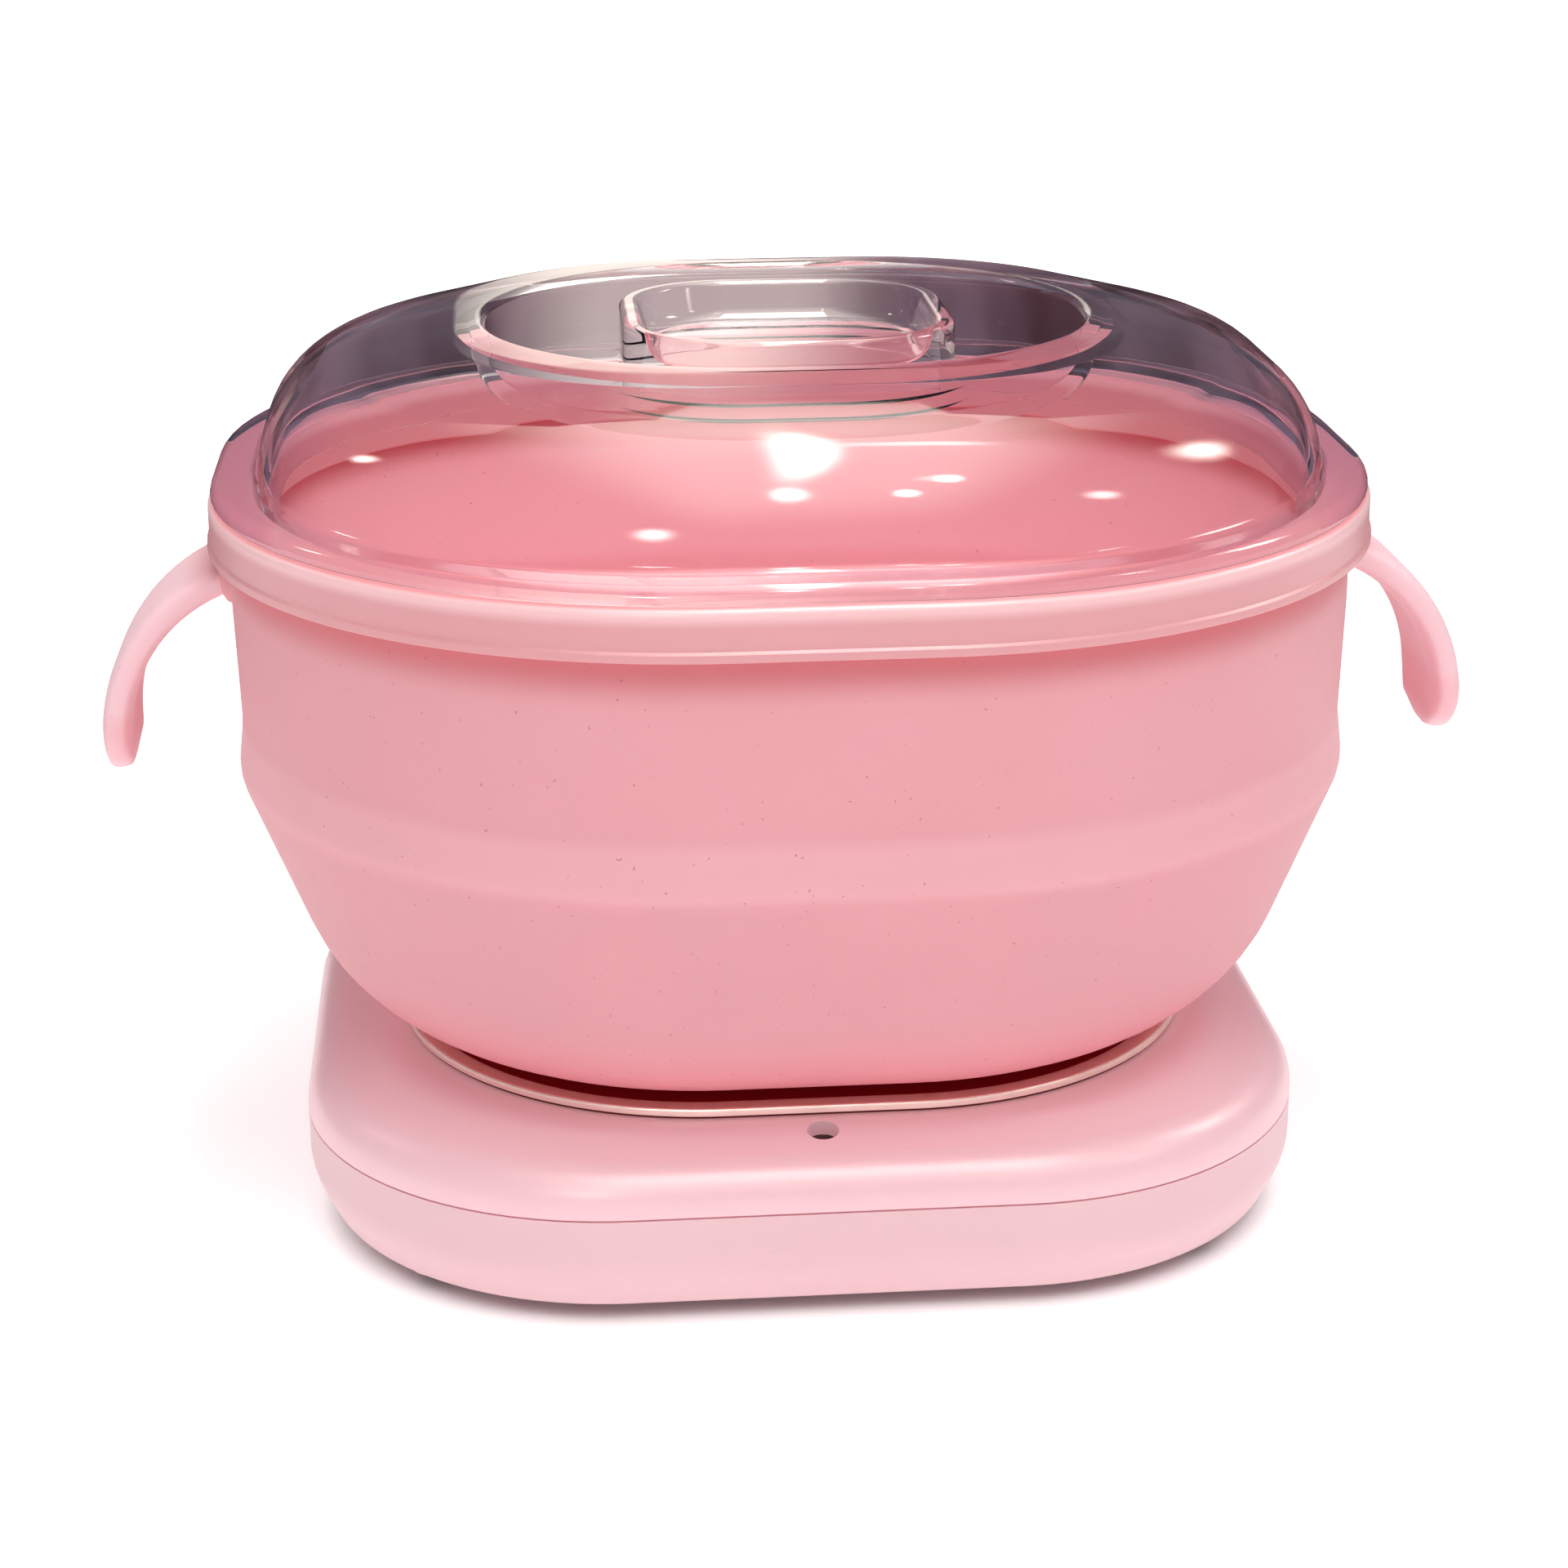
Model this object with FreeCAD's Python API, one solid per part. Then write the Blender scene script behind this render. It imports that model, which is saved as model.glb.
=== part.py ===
import FreeCAD, Part
import math
import os

# Folding wax warmer pot: a soft bowl with a clear lid stands on a heated base.
# Millimetres, +Z up, origin on the table under the middle of the base.

# Pot seen from above: straight runs, and the corner radius outside the rim collar
POT_FRONT = 29.0
POT_SIDE = 18.0
RIM_CORNER = 76.9

# Base seen from above: how far the rim overhangs it, and its own corner radius
RIM_OVERHANG = 11.4
BASE_CORNER = 50.0

# Base shells
FOOT_STAND = 2.5
COVER_HEIGHT = 16.0
COVER_TUCK = 3.6
COVER_BEND = 7.5
COVER_BEND_RADIUS = 10.0
COVER_EDGE = 3.0
SHELL_WALL = 2.2
PARTING_GAP = 0.3
LIP_HEIGHT = 2.5
LIP_WALL = 1.4
LIP_ROOT = 2.0
LIP_FIT = 0.2
HOUSING_SIDE = 6.4
HOUSING_EDGE = 6.5
HOUSING_LAND = 13.5
HOUSING_LAND_BLEND = 12.0
HOUSING_RISE = 2.3

# Fasteners of the base
FOOT_RADIUS = 6.5
FOOT_SINK = 0.8
FOOT_FIT = 0.15
FOOT_REACH = 26.6
BOSS_GAP = 0.5
BOSS_RADIUS = 4.2
BOSS_FOOT = 6.5
SCREW_RADIUS = 1.4
SCREW_LENGTH = 13.0
SCREW_HEAD_RADIUS = 2.8
SCREW_HEAD = 2.0
SCREW_SINK = 1.0
SCREW_FIT = 0.3
THREAD_FIT = 0.05

# Heater plate, seal, tray and element
PLATE_INSET = 27.1
PLATE_FLANGE = 1.9
PLATE_SHEET = 1.2
PLATE_FIT = 0.4
SEAL_THICKNESS = 0.5
SEAL_MARGIN = 0.4
TRAY_SHEET = 0.8
TRAY_MARGIN = 1.2
ELEMENT_RADIUS = 3.0
ELEMENT_INSET = 11.3
ELEMENT_FIT = 0.1
ELEMENT_GAP = 26.0
PIN_RADIUS = 1.2
PIN_LENGTH = 5.0
STUD_REACH = 28.5
STUD_RADIUS = 1.5
STUD_TAIL = 3.6
STUD_FIT = 0.3
NUT_FLATS = 5.5
NUT_HEIGHT = 2.4

# Thermostat and thermal fuse
THERMOSTAT_RADIUS = 8.0
THERMOSTAT_HEIGHT = 7.6
THERMOSTAT_FIT = 1.5
STRAP_SHEET = 0.8
STRAP_WIDTH = 9.0
STRAP_EAR = 6.0
RIVET_RADIUS = 1.2
RIVET_HEAD_RADIUS = 2.2
RIVET_HEAD = 0.8
TAB_WIDTH = 4.8
TAB_SHEET = 0.8
TAB_LENGTH = 6.5
FUSE_RADIUS = 2.0
FUSE_LENGTH = 11.0
FUSE_LEAD_RADIUS = 0.5
FUSE_LEAD = 7.0
FUSE_Y = -25.0
CLIP_WALL = 1.2
CLIP_LENGTH = 6.0

# Indicator light
LED_INSET = 11.2
LED_HOLE_RADIUS = 2.45
LED_RADIUS = 2.4
LED_FLANGE_RADIUS = 2.9
LED_FLANGE = 1.0
LED_BODY = 6.0
BOARD_WIDTH = 34.0
BOARD_DEPTH = 9.6
BOARD_SHEET = 1.6
BOARD_SCREW_X = 12.5
POST_RADIUS = 2.6
BOARD_SCREW_RADIUS = 1.1
BOARD_SCREW_HEAD_RADIUS = 2.2
BOARD_SCREW_HEAD = 1.6
BOARD_SCREW_LENGTH = 6.0
LED_CLEAR = 0.5
RESISTOR_RADIUS = 1.2
RESISTOR_LENGTH = 6.0
RESISTOR_X = -6.8

# Rear niche with the power inlet and the rocker switch
NICHE_WIDTH = 54.0
NICHE_DEPTH = 4.5
PANEL_WALL = 2.2
PANEL_FIT = 0.15
INLET_X = -13.0
INLET_WIDTH = 19.0
INLET_HEIGHT = 9.0
INLET_DEPTH = 16.0
INLET_FLANGE = 1.5
INLET_FLANGE_SHEET = 2.0
SOCKET_WIDTH = 14.6
SOCKET_HEIGHT = 7.6
SOCKET_DEPTH = 12.0
INLET_PIN_RADIUS = 1.15
INLET_PIN_PITCH = 8.6
INLET_PIN_REACH = 9.0
INLET_PIN_TAIL = 4.0
SWITCH_X = 14.0
SWITCH_WIDTH = 13.2
SWITCH_HEIGHT = 8.8
SWITCH_DEPTH = 12.0
SWITCH_BEZEL = 1.2
SWITCH_BEZEL_SHEET = 1.6
SWITCH_WALL = 0.8
ROCKER_LENGTH = 10.0
ROCKER_HALF_THICK = 2.2
ROCKER_DIP = 1.2
ROCKER_TILT = 9.0
ROCKER_SIDE_FIT = 0.3
ROCKER_PIVOT_SINK = 0.6
ROCKER_ROOM = 0.9
TRUNNION_RADIUS = 0.9
TRUNNION_FIT = 0.05

# Soft bowl
POT_WALL = 2.6
POT_FLOOR = 3.0
POT_HEIGHT = 86.1
POT_FOOT_INSET = 36.7
POT_FOOT_RADIUS = 10.8
HAUNCH_INSET = 16.3
HAUNCH_HEIGHT = 9.2
HAUNCH_RADIUS = 30.0
CREASE_HEIGHT = 44.3
CREASE_RADIUS = 15.0
FOLD_LOW = 16.0
FOLD_HIGH = 52.0

# Rim collar, clamp ring and handles
COLLAR_HEIGHT = 7.8
COLLAR_WALL = 2.2
COLLAR_WEB = 2.0
COLLAR_EDGE = 1.4
COLLAR_BEAD = 0.4
COLLAR_BEAD_HEIGHT = 1.2
WALL_FIT = 0.3
WEB_FIT = 0.2
CLAMP_FIT = 0.2
CLAMP_WALL = 2.0
CLAMP_DROP = 1.5
HANDLE_WIDTH = 25.0
HANDLE_THICK = 4.6
HANDLE_REACH = 19.3
HANDLE_RADIUS = 30.3
HANDLE_DROP = 33.0
HANDLE_ROOT_ANGLE = 80.0
HANDLE_TIP_ANGLE = -15.0
HANDLE_TIP_CORNER = 9.0
HANDLE_EDGE = 1.4
HANDLE_GROOVE = 1.0
HANDLE_GROOVE_WIDTH = 15.0
PAD_WIDTH = 29.0
PAD_HEIGHT = 10.5
PAD_THICK = 2.3
PAD_CHAMFER = 3.0
PAD_FIT = 0.1

# Clear lid
LID_WALL = 2.4
LID_FLANGE_INSET = 0.5
LID_FLANGE = 2.8
LID_FLANGE_EDGE = 2.2
LID_FLANGE_UNDER = 0.4
DOME_INSET = 7.3
DOME_FILLET = 1.6
SHOULDER_INSET = 10.9
SHOULDER_HEIGHT = 14.4
SHOULDER_RADIUS = 18.0
RIDGE_INSET = 38.6
RIDGE_HEIGHT = 21.7
RIDGE_BLEND = 5.0
RECESS_FRONT = 12.1
RECESS_SIDE = 2.1
RECESS_CORNER = 41.7
RECESS_RIM = 4.6
RECESS_EDGE = 1.6
RECESS_DEPTH = 9.4
RECESS_DRAFT = 1.8
RECESS_FILLET = 3.0
LID_LIP = 5.0
LID_LIP_WALL = 1.8
LID_LIP_FIT = 0.9
GRIP_FRONT = 16.0
GRIP_SIDE = 18.0
GRIP_CORNER = 18.0
GRIP_RISE = 9.7
GRIP_RIM = 2.8
GRIP_EDGE = 1.2
GRIP_DISH = 6.0
GRIP_DISH_SLOPE = 2.0
GRIP_DISH_FILLET = 2.5

# Insulated leads inside the base
LEAD_RADIUS = 1.0
LEAD_BEND = 2.2
LEAD_SLOT = 6.0
LEAD_LOW = 7.0
LEAD_HIGH = 15.2
LEAD_RUN = 5.5
BOARD_LEAD_X = 8.0
BOARD_NEUTRAL_X = 15.5

V = FreeCAD.Vector
CENTRE = V(0, 0, 0)
UP = V(0, 0, 1)
EVERY_CORNER = [(1, 1), (-1, 1), (-1, -1), (1, -1)]
FAR = 400.0


# Shared shape helpers

def unit(vector):
    return vector * (1.0 / vector.Length)


def profile_face(points):
    """A closed face in the XZ plane from (distance, height, rounding) corners."""
    entries, exits, middles = [], [], []
    for i, (x, z, rounding) in enumerate(points):
        corner = V(x, 0, z)
        before = V(points[i - 1][0], 0, points[i - 1][1])
        after = V(points[(i + 1) % len(points)][0], 0, points[(i + 1) % len(points)][1])
        to_before, to_after = unit(before - corner), unit(after - corner)
        half = to_before.getAngle(to_after) / 2
        reach = rounding / math.tan(half)
        entries.append(corner + to_before * reach)
        exits.append(corner + to_after * reach)
        if rounding > 0:
            inward = unit(to_before + to_after)
            middles.append(corner + inward * (rounding / math.sin(half) - rounding))
        else:
            middles.append(None)
    edges = []
    for i, middle in enumerate(middles):
        if middle is not None:
            edges.append(Part.Arc(entries[i], middle, exits[i]).toShape())
        end = entries[(i + 1) % len(points)]
        if exits[i].distanceToPoint(end) > 1e-6:
            edges.append(Part.LineSegment(exits[i], end).toShape())
    return Part.Face(Part.Wire(edges))


def offset_chain(chain, distance):
    """The chain of corners moved sideways to the left of its direction of travel."""
    moved = []
    last = len(chain) - 1
    for i, (x, z, rounding) in enumerate(chain):
        ends = (chain[max(i - 1, 0)], chain[min(i + 1, last)])
        before = V(x - ends[0][0], 0, z - ends[0][1])
        after = V(ends[1][0] - x, 0, ends[1][1] - z)
        before = unit(before) if i > 0 else unit(after)
        after = unit(after) if i < last else before
        left_before, left_after = V(-before.z, 0, before.x), V(-after.z, 0, after.x)
        miter = unit(left_before + left_after)
        step = miter * (distance / miter.dot(left_after))
        turn_left = before.x * after.z - before.z * after.x
        tighter = rounding - distance if turn_left > 0 else rounding + distance
        kept = max(tighter, 0.0) if rounding > 0 else 0.0
        moved.append((x + step.x, z + step.z, kept))
    return moved


def skin(chain, thickness):
    """Closed profile of a wall whose outer face follows the chain."""
    return chain + offset_chain(chain, thickness)[::-1]


def carry_round(core, face):
    """Solid made by carrying a face round a rectangle with rounded corners.

    The face lies in the XZ plane and its X is the distance from the core, the
    small rectangle that joins the four corner centres.
    """
    core_x, core_y = core
    corners = [V(core_x * sx, core_y * sy, 0) for sx, sy in EVERY_CORNER]
    pieces = []
    for i, corner in enumerate(corners):
        turned = face.copy()
        turned.rotate(CENTRE, UP, 90 * i)
        turned.translate(corner)
        pieces.append(turned.revolve(corner, UP, 90))
        turned = face.copy()
        turned.rotate(CENTRE, UP, 90 * (i + 1))
        turned.translate(corner)
        pieces.append(turned.extrude(corners[(i + 1) % 4] - corner))
    return pieces


def round_body(core, points):
    """Ring or filled body with this profile all round the core."""
    pieces = carry_round(core, profile_face(points))
    on_axis = [z for x, z, rounding in points if x == 0]
    if on_axis:
        low, high = min(on_axis), max(on_axis)
        pieces.append(Part.makeBox(2 * core[0], 2 * core[1], high - low, V(-core[0], -core[1], low)))
    return pieces[0].multiFuse(pieces[1:]).removeSplitter()


def slab(core, distance, low, high):
    return round_body(core, [(0, low, 0), (distance, low, 0), (distance, high, 0), (0, high, 0)])


def band(low, high):
    """A wide layer between two heights, for dividing a body."""
    return box(-FAR, FAR, -FAR, FAR, low, high)


def box(x0, x1, y0, y1, z0, z1):
    return Part.makeBox(x1 - x0, y1 - y0, z1 - z0, V(x0, y0, z0))


def post(radius, x, y, low, high):
    return Part.makeCylinder(radius, high - low, V(x, y, low))


def turned_body(points, x, y):
    """Solid of revolution about an upright line at x, y."""
    body = profile_face(points).revolve(CENTRE, UP, 360)
    body.translate(V(x, y, 0))
    return body


def group(shapes):
    return Part.makeCompound(shapes)


def mirrored(shape):
    return shape.mirror(CENTRE, V(1, 0, 0))


def tube(points, radius, bend):
    """Round wire along straight runs joined by equal bends."""
    corners = [V(*point) for point in points]
    edges = []
    start = corners[0]
    for i in range(1, len(corners) - 1):
        to_before, to_after = unit(corners[i - 1] - corners[i]), unit(corners[i + 1] - corners[i])
        half = to_before.getAngle(to_after) / 2
        reach = bend / math.tan(half)
        middle = corners[i] + unit(to_before + to_after) * (bend / math.sin(half) - bend)
        entry, leave = corners[i] + to_before * reach, corners[i] + to_after * reach
        edges.append(Part.LineSegment(start, entry).toShape())
        edges.append(Part.Arc(entry, middle, leave).toShape())
        start = leave
    edges.append(Part.LineSegment(start, corners[-1]).toShape())
    section = Part.Wire(Part.makeCircle(radius, corners[0], unit(corners[1] - corners[0])))
    return Part.Wire(edges).makePipeShell([section], True, False)


# Levels and plans that several pieces share

pot_core = (POT_FRONT / 2, POT_SIDE / 2)
recess_core = (RECESS_FRONT / 2, RECESS_SIDE / 2)
grip_core = (GRIP_FRONT / 2, GRIP_SIDE / 2)
base_reach = RIM_CORNER - RIM_OVERHANG
base_core = (pot_core[0] + base_reach - BASE_CORNER, pot_core[1] + base_reach - BASE_CORNER)
rear = base_core[1] + BASE_CORNER
led_y = LED_INSET - rear


def on_diagonals(core, reach):
    """Four places at this distance outside the corners of a core."""
    step = reach * math.sqrt(0.5)
    return [((core[0] + step) * sx, (core[1] + step) * sy) for sx, sy in EVERY_CORNER]


base_inside = BASE_CORNER - SHELL_WALL
lip_outside = base_inside - LIP_FIT
lip_inside = lip_outside - LIP_WALL
boss_reach = lip_inside - BOSS_GAP - BOSS_RADIUS
boss_places = on_diagonals(base_core, boss_reach)
foot_places = on_diagonals(base_core, FOOT_REACH)
stud_places = on_diagonals(pot_core, STUD_REACH)

cover_top = FOOT_STAND + COVER_HEIGHT
cover_floor = FOOT_STAND + SHELL_WALL
housing_foot = cover_top + PARTING_GAP
shoulder = housing_foot + HOUSING_SIDE
land = shoulder + HOUSING_RISE
land_under = land - SHELL_WALL

plate_edge = RIM_CORNER - PLATE_INSET
dish_outside = plate_edge - PLATE_FLANGE
dish_inside = dish_outside - PLATE_SHEET
opening = dish_outside + PLATE_FIT
flange_under = land + SEAL_THICKNESS
seat = flange_under
plate_top = flange_under + PLATE_SHEET
plate_under = seat - PLATE_SHEET
element_level = plate_under - ELEMENT_RADIUS - ELEMENT_FIT
tray_top = element_level - ELEMENT_RADIUS - ELEMENT_FIT
tray_under = tray_top - TRAY_SHEET
tray_edge = opening + TRAY_MARGIN
element_line = plate_edge - ELEMENT_INSET
element_y = pot_core[1] + element_line
pin_end = ELEMENT_GAP / 2 - PIN_LENGTH
strap_top = plate_under - THERMOSTAT_HEIGHT
thermostat_opening = THERMOSTAT_RADIUS + THERMOSTAT_FIT
rivet_x = thermostat_opening + STRAP_EAR / 2

boss_meet = cover_floor + BOSS_FOOT

wall_outside = RIM_CORNER - COLLAR_WALL - WALL_FIT
wall_inside = wall_outside - POT_WALL
collar_low = seat + POT_HEIGHT - COLLAR_HEIGHT + COLLAR_WEB + WEB_FIT
collar_top = collar_low + COLLAR_HEIGHT
web_under = collar_top - COLLAR_WEB
clamp_outside = wall_inside - CLAMP_FIT
clamp_inside = clamp_outside - CLAMP_WALL
crease = seat + CREASE_HEIGHT
fold_low = seat + FOLD_LOW
fold_high = seat + FOLD_HIGH

flange_top = collar_top + LID_FLANGE
ridge_top = flange_top + RIDGE_HEIGHT
recess_floor = ridge_top - RECESS_DEPTH

panel = rear - NICHE_DEPTH
niche_low = cover_floor
niche_high = cover_top - SHELL_WALL
niche_level = (niche_low + niche_high) / 2


# Base: shells

def base_outline(top):
    """Outside of the lower shell from the middle of its floor up to the parting line."""
    return [
        (0, FOOT_STAND, 0),
        (BASE_CORNER - COVER_TUCK, FOOT_STAND, COVER_EDGE),
        (BASE_CORNER, FOOT_STAND + COVER_BEND, COVER_BEND_RADIUS),
        (BASE_CORNER, top, 0),
    ]


def niche_window(x, width, height):
    return box(x - width / 2 - PANEL_FIT, x + width / 2 + PANEL_FIT, panel - PANEL_WALL, panel,
               niche_level - height / 2 - PANEL_FIT, niche_level + height / 2 + PANEL_FIT)


def base_bottom_cover():
    shell = round_body(base_core, skin(base_outline(cover_top), SHELL_WALL))
    lip = round_body(base_core, [
        (base_inside + LIP_FIT, cover_top - LIP_ROOT, 0), (base_inside + LIP_FIT, cover_top, 0),
        (lip_outside, cover_top, 0), (lip_outside, cover_top + LIP_HEIGHT, 0),
        (lip_inside, cover_top + LIP_HEIGHT, 0), (lip_inside, cover_top - LIP_ROOT, 0)])
    filled = round_body(base_core, base_outline(cover_top) + [(0, cover_top, 0)])
    half = NICHE_WIDTH / 2
    surround = box(-half - PANEL_WALL, half + PANEL_WALL, panel - PANEL_WALL, FAR, FOOT_STAND, cover_top)
    cover = shell.fuse([lip, filled.common(surround)])
    cover = cover.cut(box(-half, half, panel, FAR, niche_low, niche_high))
    cover = cover.cut(niche_window(INLET_X, INLET_WIDTH, INLET_HEIGHT))
    cover = cover.cut(niche_window(SWITCH_X, SWITCH_WIDTH, SWITCH_HEIGHT))
    posts = [post(BOSS_RADIUS, x, y, FOOT_STAND, boss_meet) for x, y in boss_places]
    posts += [post(POST_RADIUS, x, led_y, cover_floor, board_under) for x in (-BOARD_SCREW_X, BOARD_SCREW_X)]
    cover = cover.fuse(posts)
    holes = [post(FOOT_RADIUS + FOOT_FIT, x, y, 0, FOOT_STAND + FOOT_SINK) for x, y in foot_places]
    for x, y in boss_places:
        holes.append(post(SCREW_HEAD_RADIUS + SCREW_FIT, x, y, 0, screw_seat))
        holes.append(post(SCREW_RADIUS + SCREW_FIT, x, y, 0, boss_meet))
    for x in (-BOARD_SCREW_X, BOARD_SCREW_X):
        low = board_top - BOARD_SCREW_LENGTH
        holes.append(post(BOARD_SCREW_RADIUS + THREAD_FIT, x, led_y, low, board_top))
    return cover.cut(holes).removeSplitter()


def base_top_housing():
    chain = [
        (BASE_CORNER, housing_foot, 0),
        (BASE_CORNER, shoulder, HOUSING_EDGE),
        (BASE_CORNER - HOUSING_LAND, land, HOUSING_LAND_BLEND),
        (BASE_CORNER / 4, land, 0),
    ]
    housing = round_body(base_core, skin(chain, SHELL_WALL))
    slope = HOUSING_RISE / HOUSING_LAND
    boss_top = shoulder + (BASE_CORNER - boss_reach) * slope - SHELL_WALL / 2
    housing = housing.fuse([post(BOSS_RADIUS, x, y, boss_meet, boss_top) for x, y in boss_places])
    cuts = [slab(pot_core, opening, land_under - SHELL_WALL, land + SHELL_WALL)]
    cuts.append(post(LED_HOLE_RADIUS, 0, led_y, board_top + LED_FLANGE, land + SHELL_WALL))
    cuts += [post(SCREW_RADIUS + THREAD_FIT, x, y, boss_meet, screw_seat + SCREW_LENGTH)
             for x, y in boss_places]
    return housing.cut(cuts).removeSplitter()


screw_seat = FOOT_STAND + SCREW_SINK + SCREW_HEAD
led_tip = shoulder - SHELL_WALL - LED_CLEAR
board_top = led_tip - LED_RADIUS - LED_BODY - LED_FLANGE
board_under = board_top - BOARD_SHEET


def rubber_feet():
    points = [(0, 0, 0), (FOOT_RADIUS, 0, FOOT_SINK), (FOOT_RADIUS, FOOT_STAND + FOOT_SINK, 0),
              (0, FOOT_STAND + FOOT_SINK, 0)]
    return group([turned_body(points, x, y) for x, y in foot_places])


def cover_screws():
    tip = screw_seat + SCREW_LENGTH
    points = [(0, screw_seat - SCREW_HEAD, 0), (SCREW_HEAD_RADIUS, screw_seat - SCREW_HEAD, SCREW_HEAD / 3),
              (SCREW_HEAD_RADIUS, screw_seat, 0), (SCREW_RADIUS, screw_seat, 0),
              (SCREW_RADIUS, tip - SCREW_RADIUS, 0), (0, tip, 0)]
    return group([turned_body(points, x, y) for x, y in boss_places])


# Base: heater

def heater_plate():
    rim = PLATE_SHEET / 3
    return round_body(pot_core, [
        (0, plate_under, 0), (dish_outside, plate_under, rim), (dish_outside, flange_under, 0),
        (plate_edge, flange_under, 0), (plate_edge, plate_top, rim), (dish_inside, plate_top, rim),
        (dish_inside, seat, rim), (0, seat, 0)])


def plate_seal():
    inner, outer = opening, plate_edge - SEAL_MARGIN
    return round_body(pot_core, [(inner, land, 0), (outer, land, 0), (outer, flange_under, 0),
                                 (inner, flange_under, 0)])


def heater_tray():
    chain = [(0, tray_under, 0), (tray_edge, tray_under, TRAY_SHEET * 2), (tray_edge, land_under, 0)]
    tray = round_body(pot_core, skin(chain, TRAY_SHEET))
    holes = [post(STUD_RADIUS + STUD_FIT, x, y, tray_under, tray_top) for x, y in stud_places]
    holes.append(post(thermostat_opening, 0, 0, tray_under, tray_top))
    holes += [post(RIVET_RADIUS + THREAD_FIT, x, 0, tray_under, tray_top) for x in (-rivet_x, rivet_x)]
    slot = pin_end - THREAD_FIT
    half = LEAD_SLOT / 2
    holes.append(box(-slot, slot, element_y - half, element_y + half, tray_under, tray_top))
    return tray.cut(holes)


def heating_element():
    circle = Part.makeCircle(ELEMENT_RADIUS, V(element_line, 0, element_level), V(0, 1, 0))
    pieces = carry_round(pot_core, Part.Face(Part.Wire(circle)))
    loop = pieces[0].multiFuse(pieces[1:])
    half = ELEMENT_GAP / 2
    return loop.cut(box(-half, half, 0, FAR, 0, plate_under)).removeSplitter()


def element_pins():
    start = ELEMENT_GAP / 2
    return group([Part.makeCylinder(PIN_RADIUS, PIN_LENGTH, V(side * start, element_y, element_level),
                                    V(-side, 0, 0)) for side in (-1, 1)])


def plate_studs():
    low = tray_under - NUT_HEIGHT - STUD_TAIL
    return group([post(STUD_RADIUS, x, y, low, plate_under) for x, y in stud_places])


def stud_nuts():
    nuts = []
    for x, y in stud_places:
        reach = NUT_FLATS / math.sqrt(3)
        corners = [V(x + reach * math.cos(math.radians(60 * i)), y + reach * math.sin(math.radians(60 * i)),
                     tray_under - NUT_HEIGHT) for i in range(7)]
        prism = Part.Face(Part.makePolygon(corners)).extrude(V(0, 0, NUT_HEIGHT))
        nuts.append(prism.cut(post(STUD_RADIUS + THREAD_FIT, x, y, tray_under - NUT_HEIGHT, tray_under)))
    return group(nuts)


def thermostat():
    body = post(THERMOSTAT_RADIUS, 0, 0, strap_top, plate_under)
    for side in (-1, 1):
        y = side * (STRAP_WIDTH / 2 + TAB_SHEET * 2)
        body = body.fuse(box(-TAB_WIDTH / 2, TAB_WIDTH / 2, y - TAB_SHEET / 2, y + TAB_SHEET / 2,
                             strap_top - TAB_LENGTH, strap_top))
    return body


def thermostat_strap():
    ear = thermostat_opening + STRAP_EAR
    step = thermostat_opening
    ear_level = tray_under - STRAP_SHEET
    level = strap_top - STRAP_SHEET
    chain = [(-ear, ear_level, 0), (-step, ear_level, 0), (-THERMOSTAT_RADIUS, level, 0),
             (THERMOSTAT_RADIUS, level, 0), (step, ear_level, 0), (ear, ear_level, 0)]
    strap = profile_face(skin(chain, STRAP_SHEET)).extrude(V(0, STRAP_WIDTH, 0))
    strap.translate(V(0, -STRAP_WIDTH / 2, 0))
    holes = [post(RIVET_RADIUS + THREAD_FIT, x, 0, 0, tray_under) for x in (-rivet_x, rivet_x)]
    return strap.cut(holes)


def strap_rivets():
    low = tray_under - STRAP_SHEET
    points = [(0, low - RIVET_HEAD, 0), (RIVET_HEAD_RADIUS, low - RIVET_HEAD, RIVET_HEAD / 2),
              (RIVET_HEAD_RADIUS, low, 0), (RIVET_RADIUS, low, 0), (RIVET_RADIUS, tray_top, 0),
              (RIVET_HEAD_RADIUS, tray_top, 0), (RIVET_HEAD_RADIUS, tray_top + RIVET_HEAD, RIVET_HEAD / 2),
              (0, tray_top + RIVET_HEAD, 0)]
    return group([turned_body(points, x, 0) for x in (-rivet_x, rivet_x)])


fuse_level = tray_under - CLIP_WALL - FUSE_RADIUS - THREAD_FIT


def thermal_fuse():
    half = FUSE_LENGTH / 2
    body = Part.makeCylinder(FUSE_RADIUS, FUSE_LENGTH, V(-half, FUSE_Y, fuse_level), V(1, 0, 0))
    reach = half + FUSE_LEAD
    lead = Part.makeCylinder(FUSE_LEAD_RADIUS, 2 * reach, V(-reach, FUSE_Y, fuse_level), V(1, 0, 0))
    return body.fuse(lead)


def fuse_clip():
    half = FUSE_RADIUS + CLIP_WALL
    length = CLIP_LENGTH / 2
    block = box(-length, length, FUSE_Y - half, FUSE_Y + half, fuse_level - half, tray_under)
    radius = FUSE_RADIUS + THREAD_FIT
    bore = Part.makeCylinder(radius, CLIP_LENGTH, V(-length, FUSE_Y, fuse_level), V(1, 0, 0))
    return block.cut(bore)


# Base: indicator light

def led_board():
    board = box(-BOARD_WIDTH / 2, BOARD_WIDTH / 2, led_y - BOARD_DEPTH / 2, led_y + BOARD_DEPTH / 2,
                board_under, board_top)
    holes = [post(BOARD_SCREW_RADIUS + THREAD_FIT, x, led_y, board_under, board_top)
             for x in (-BOARD_SCREW_X, BOARD_SCREW_X)]
    return board.cut(holes)


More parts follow.
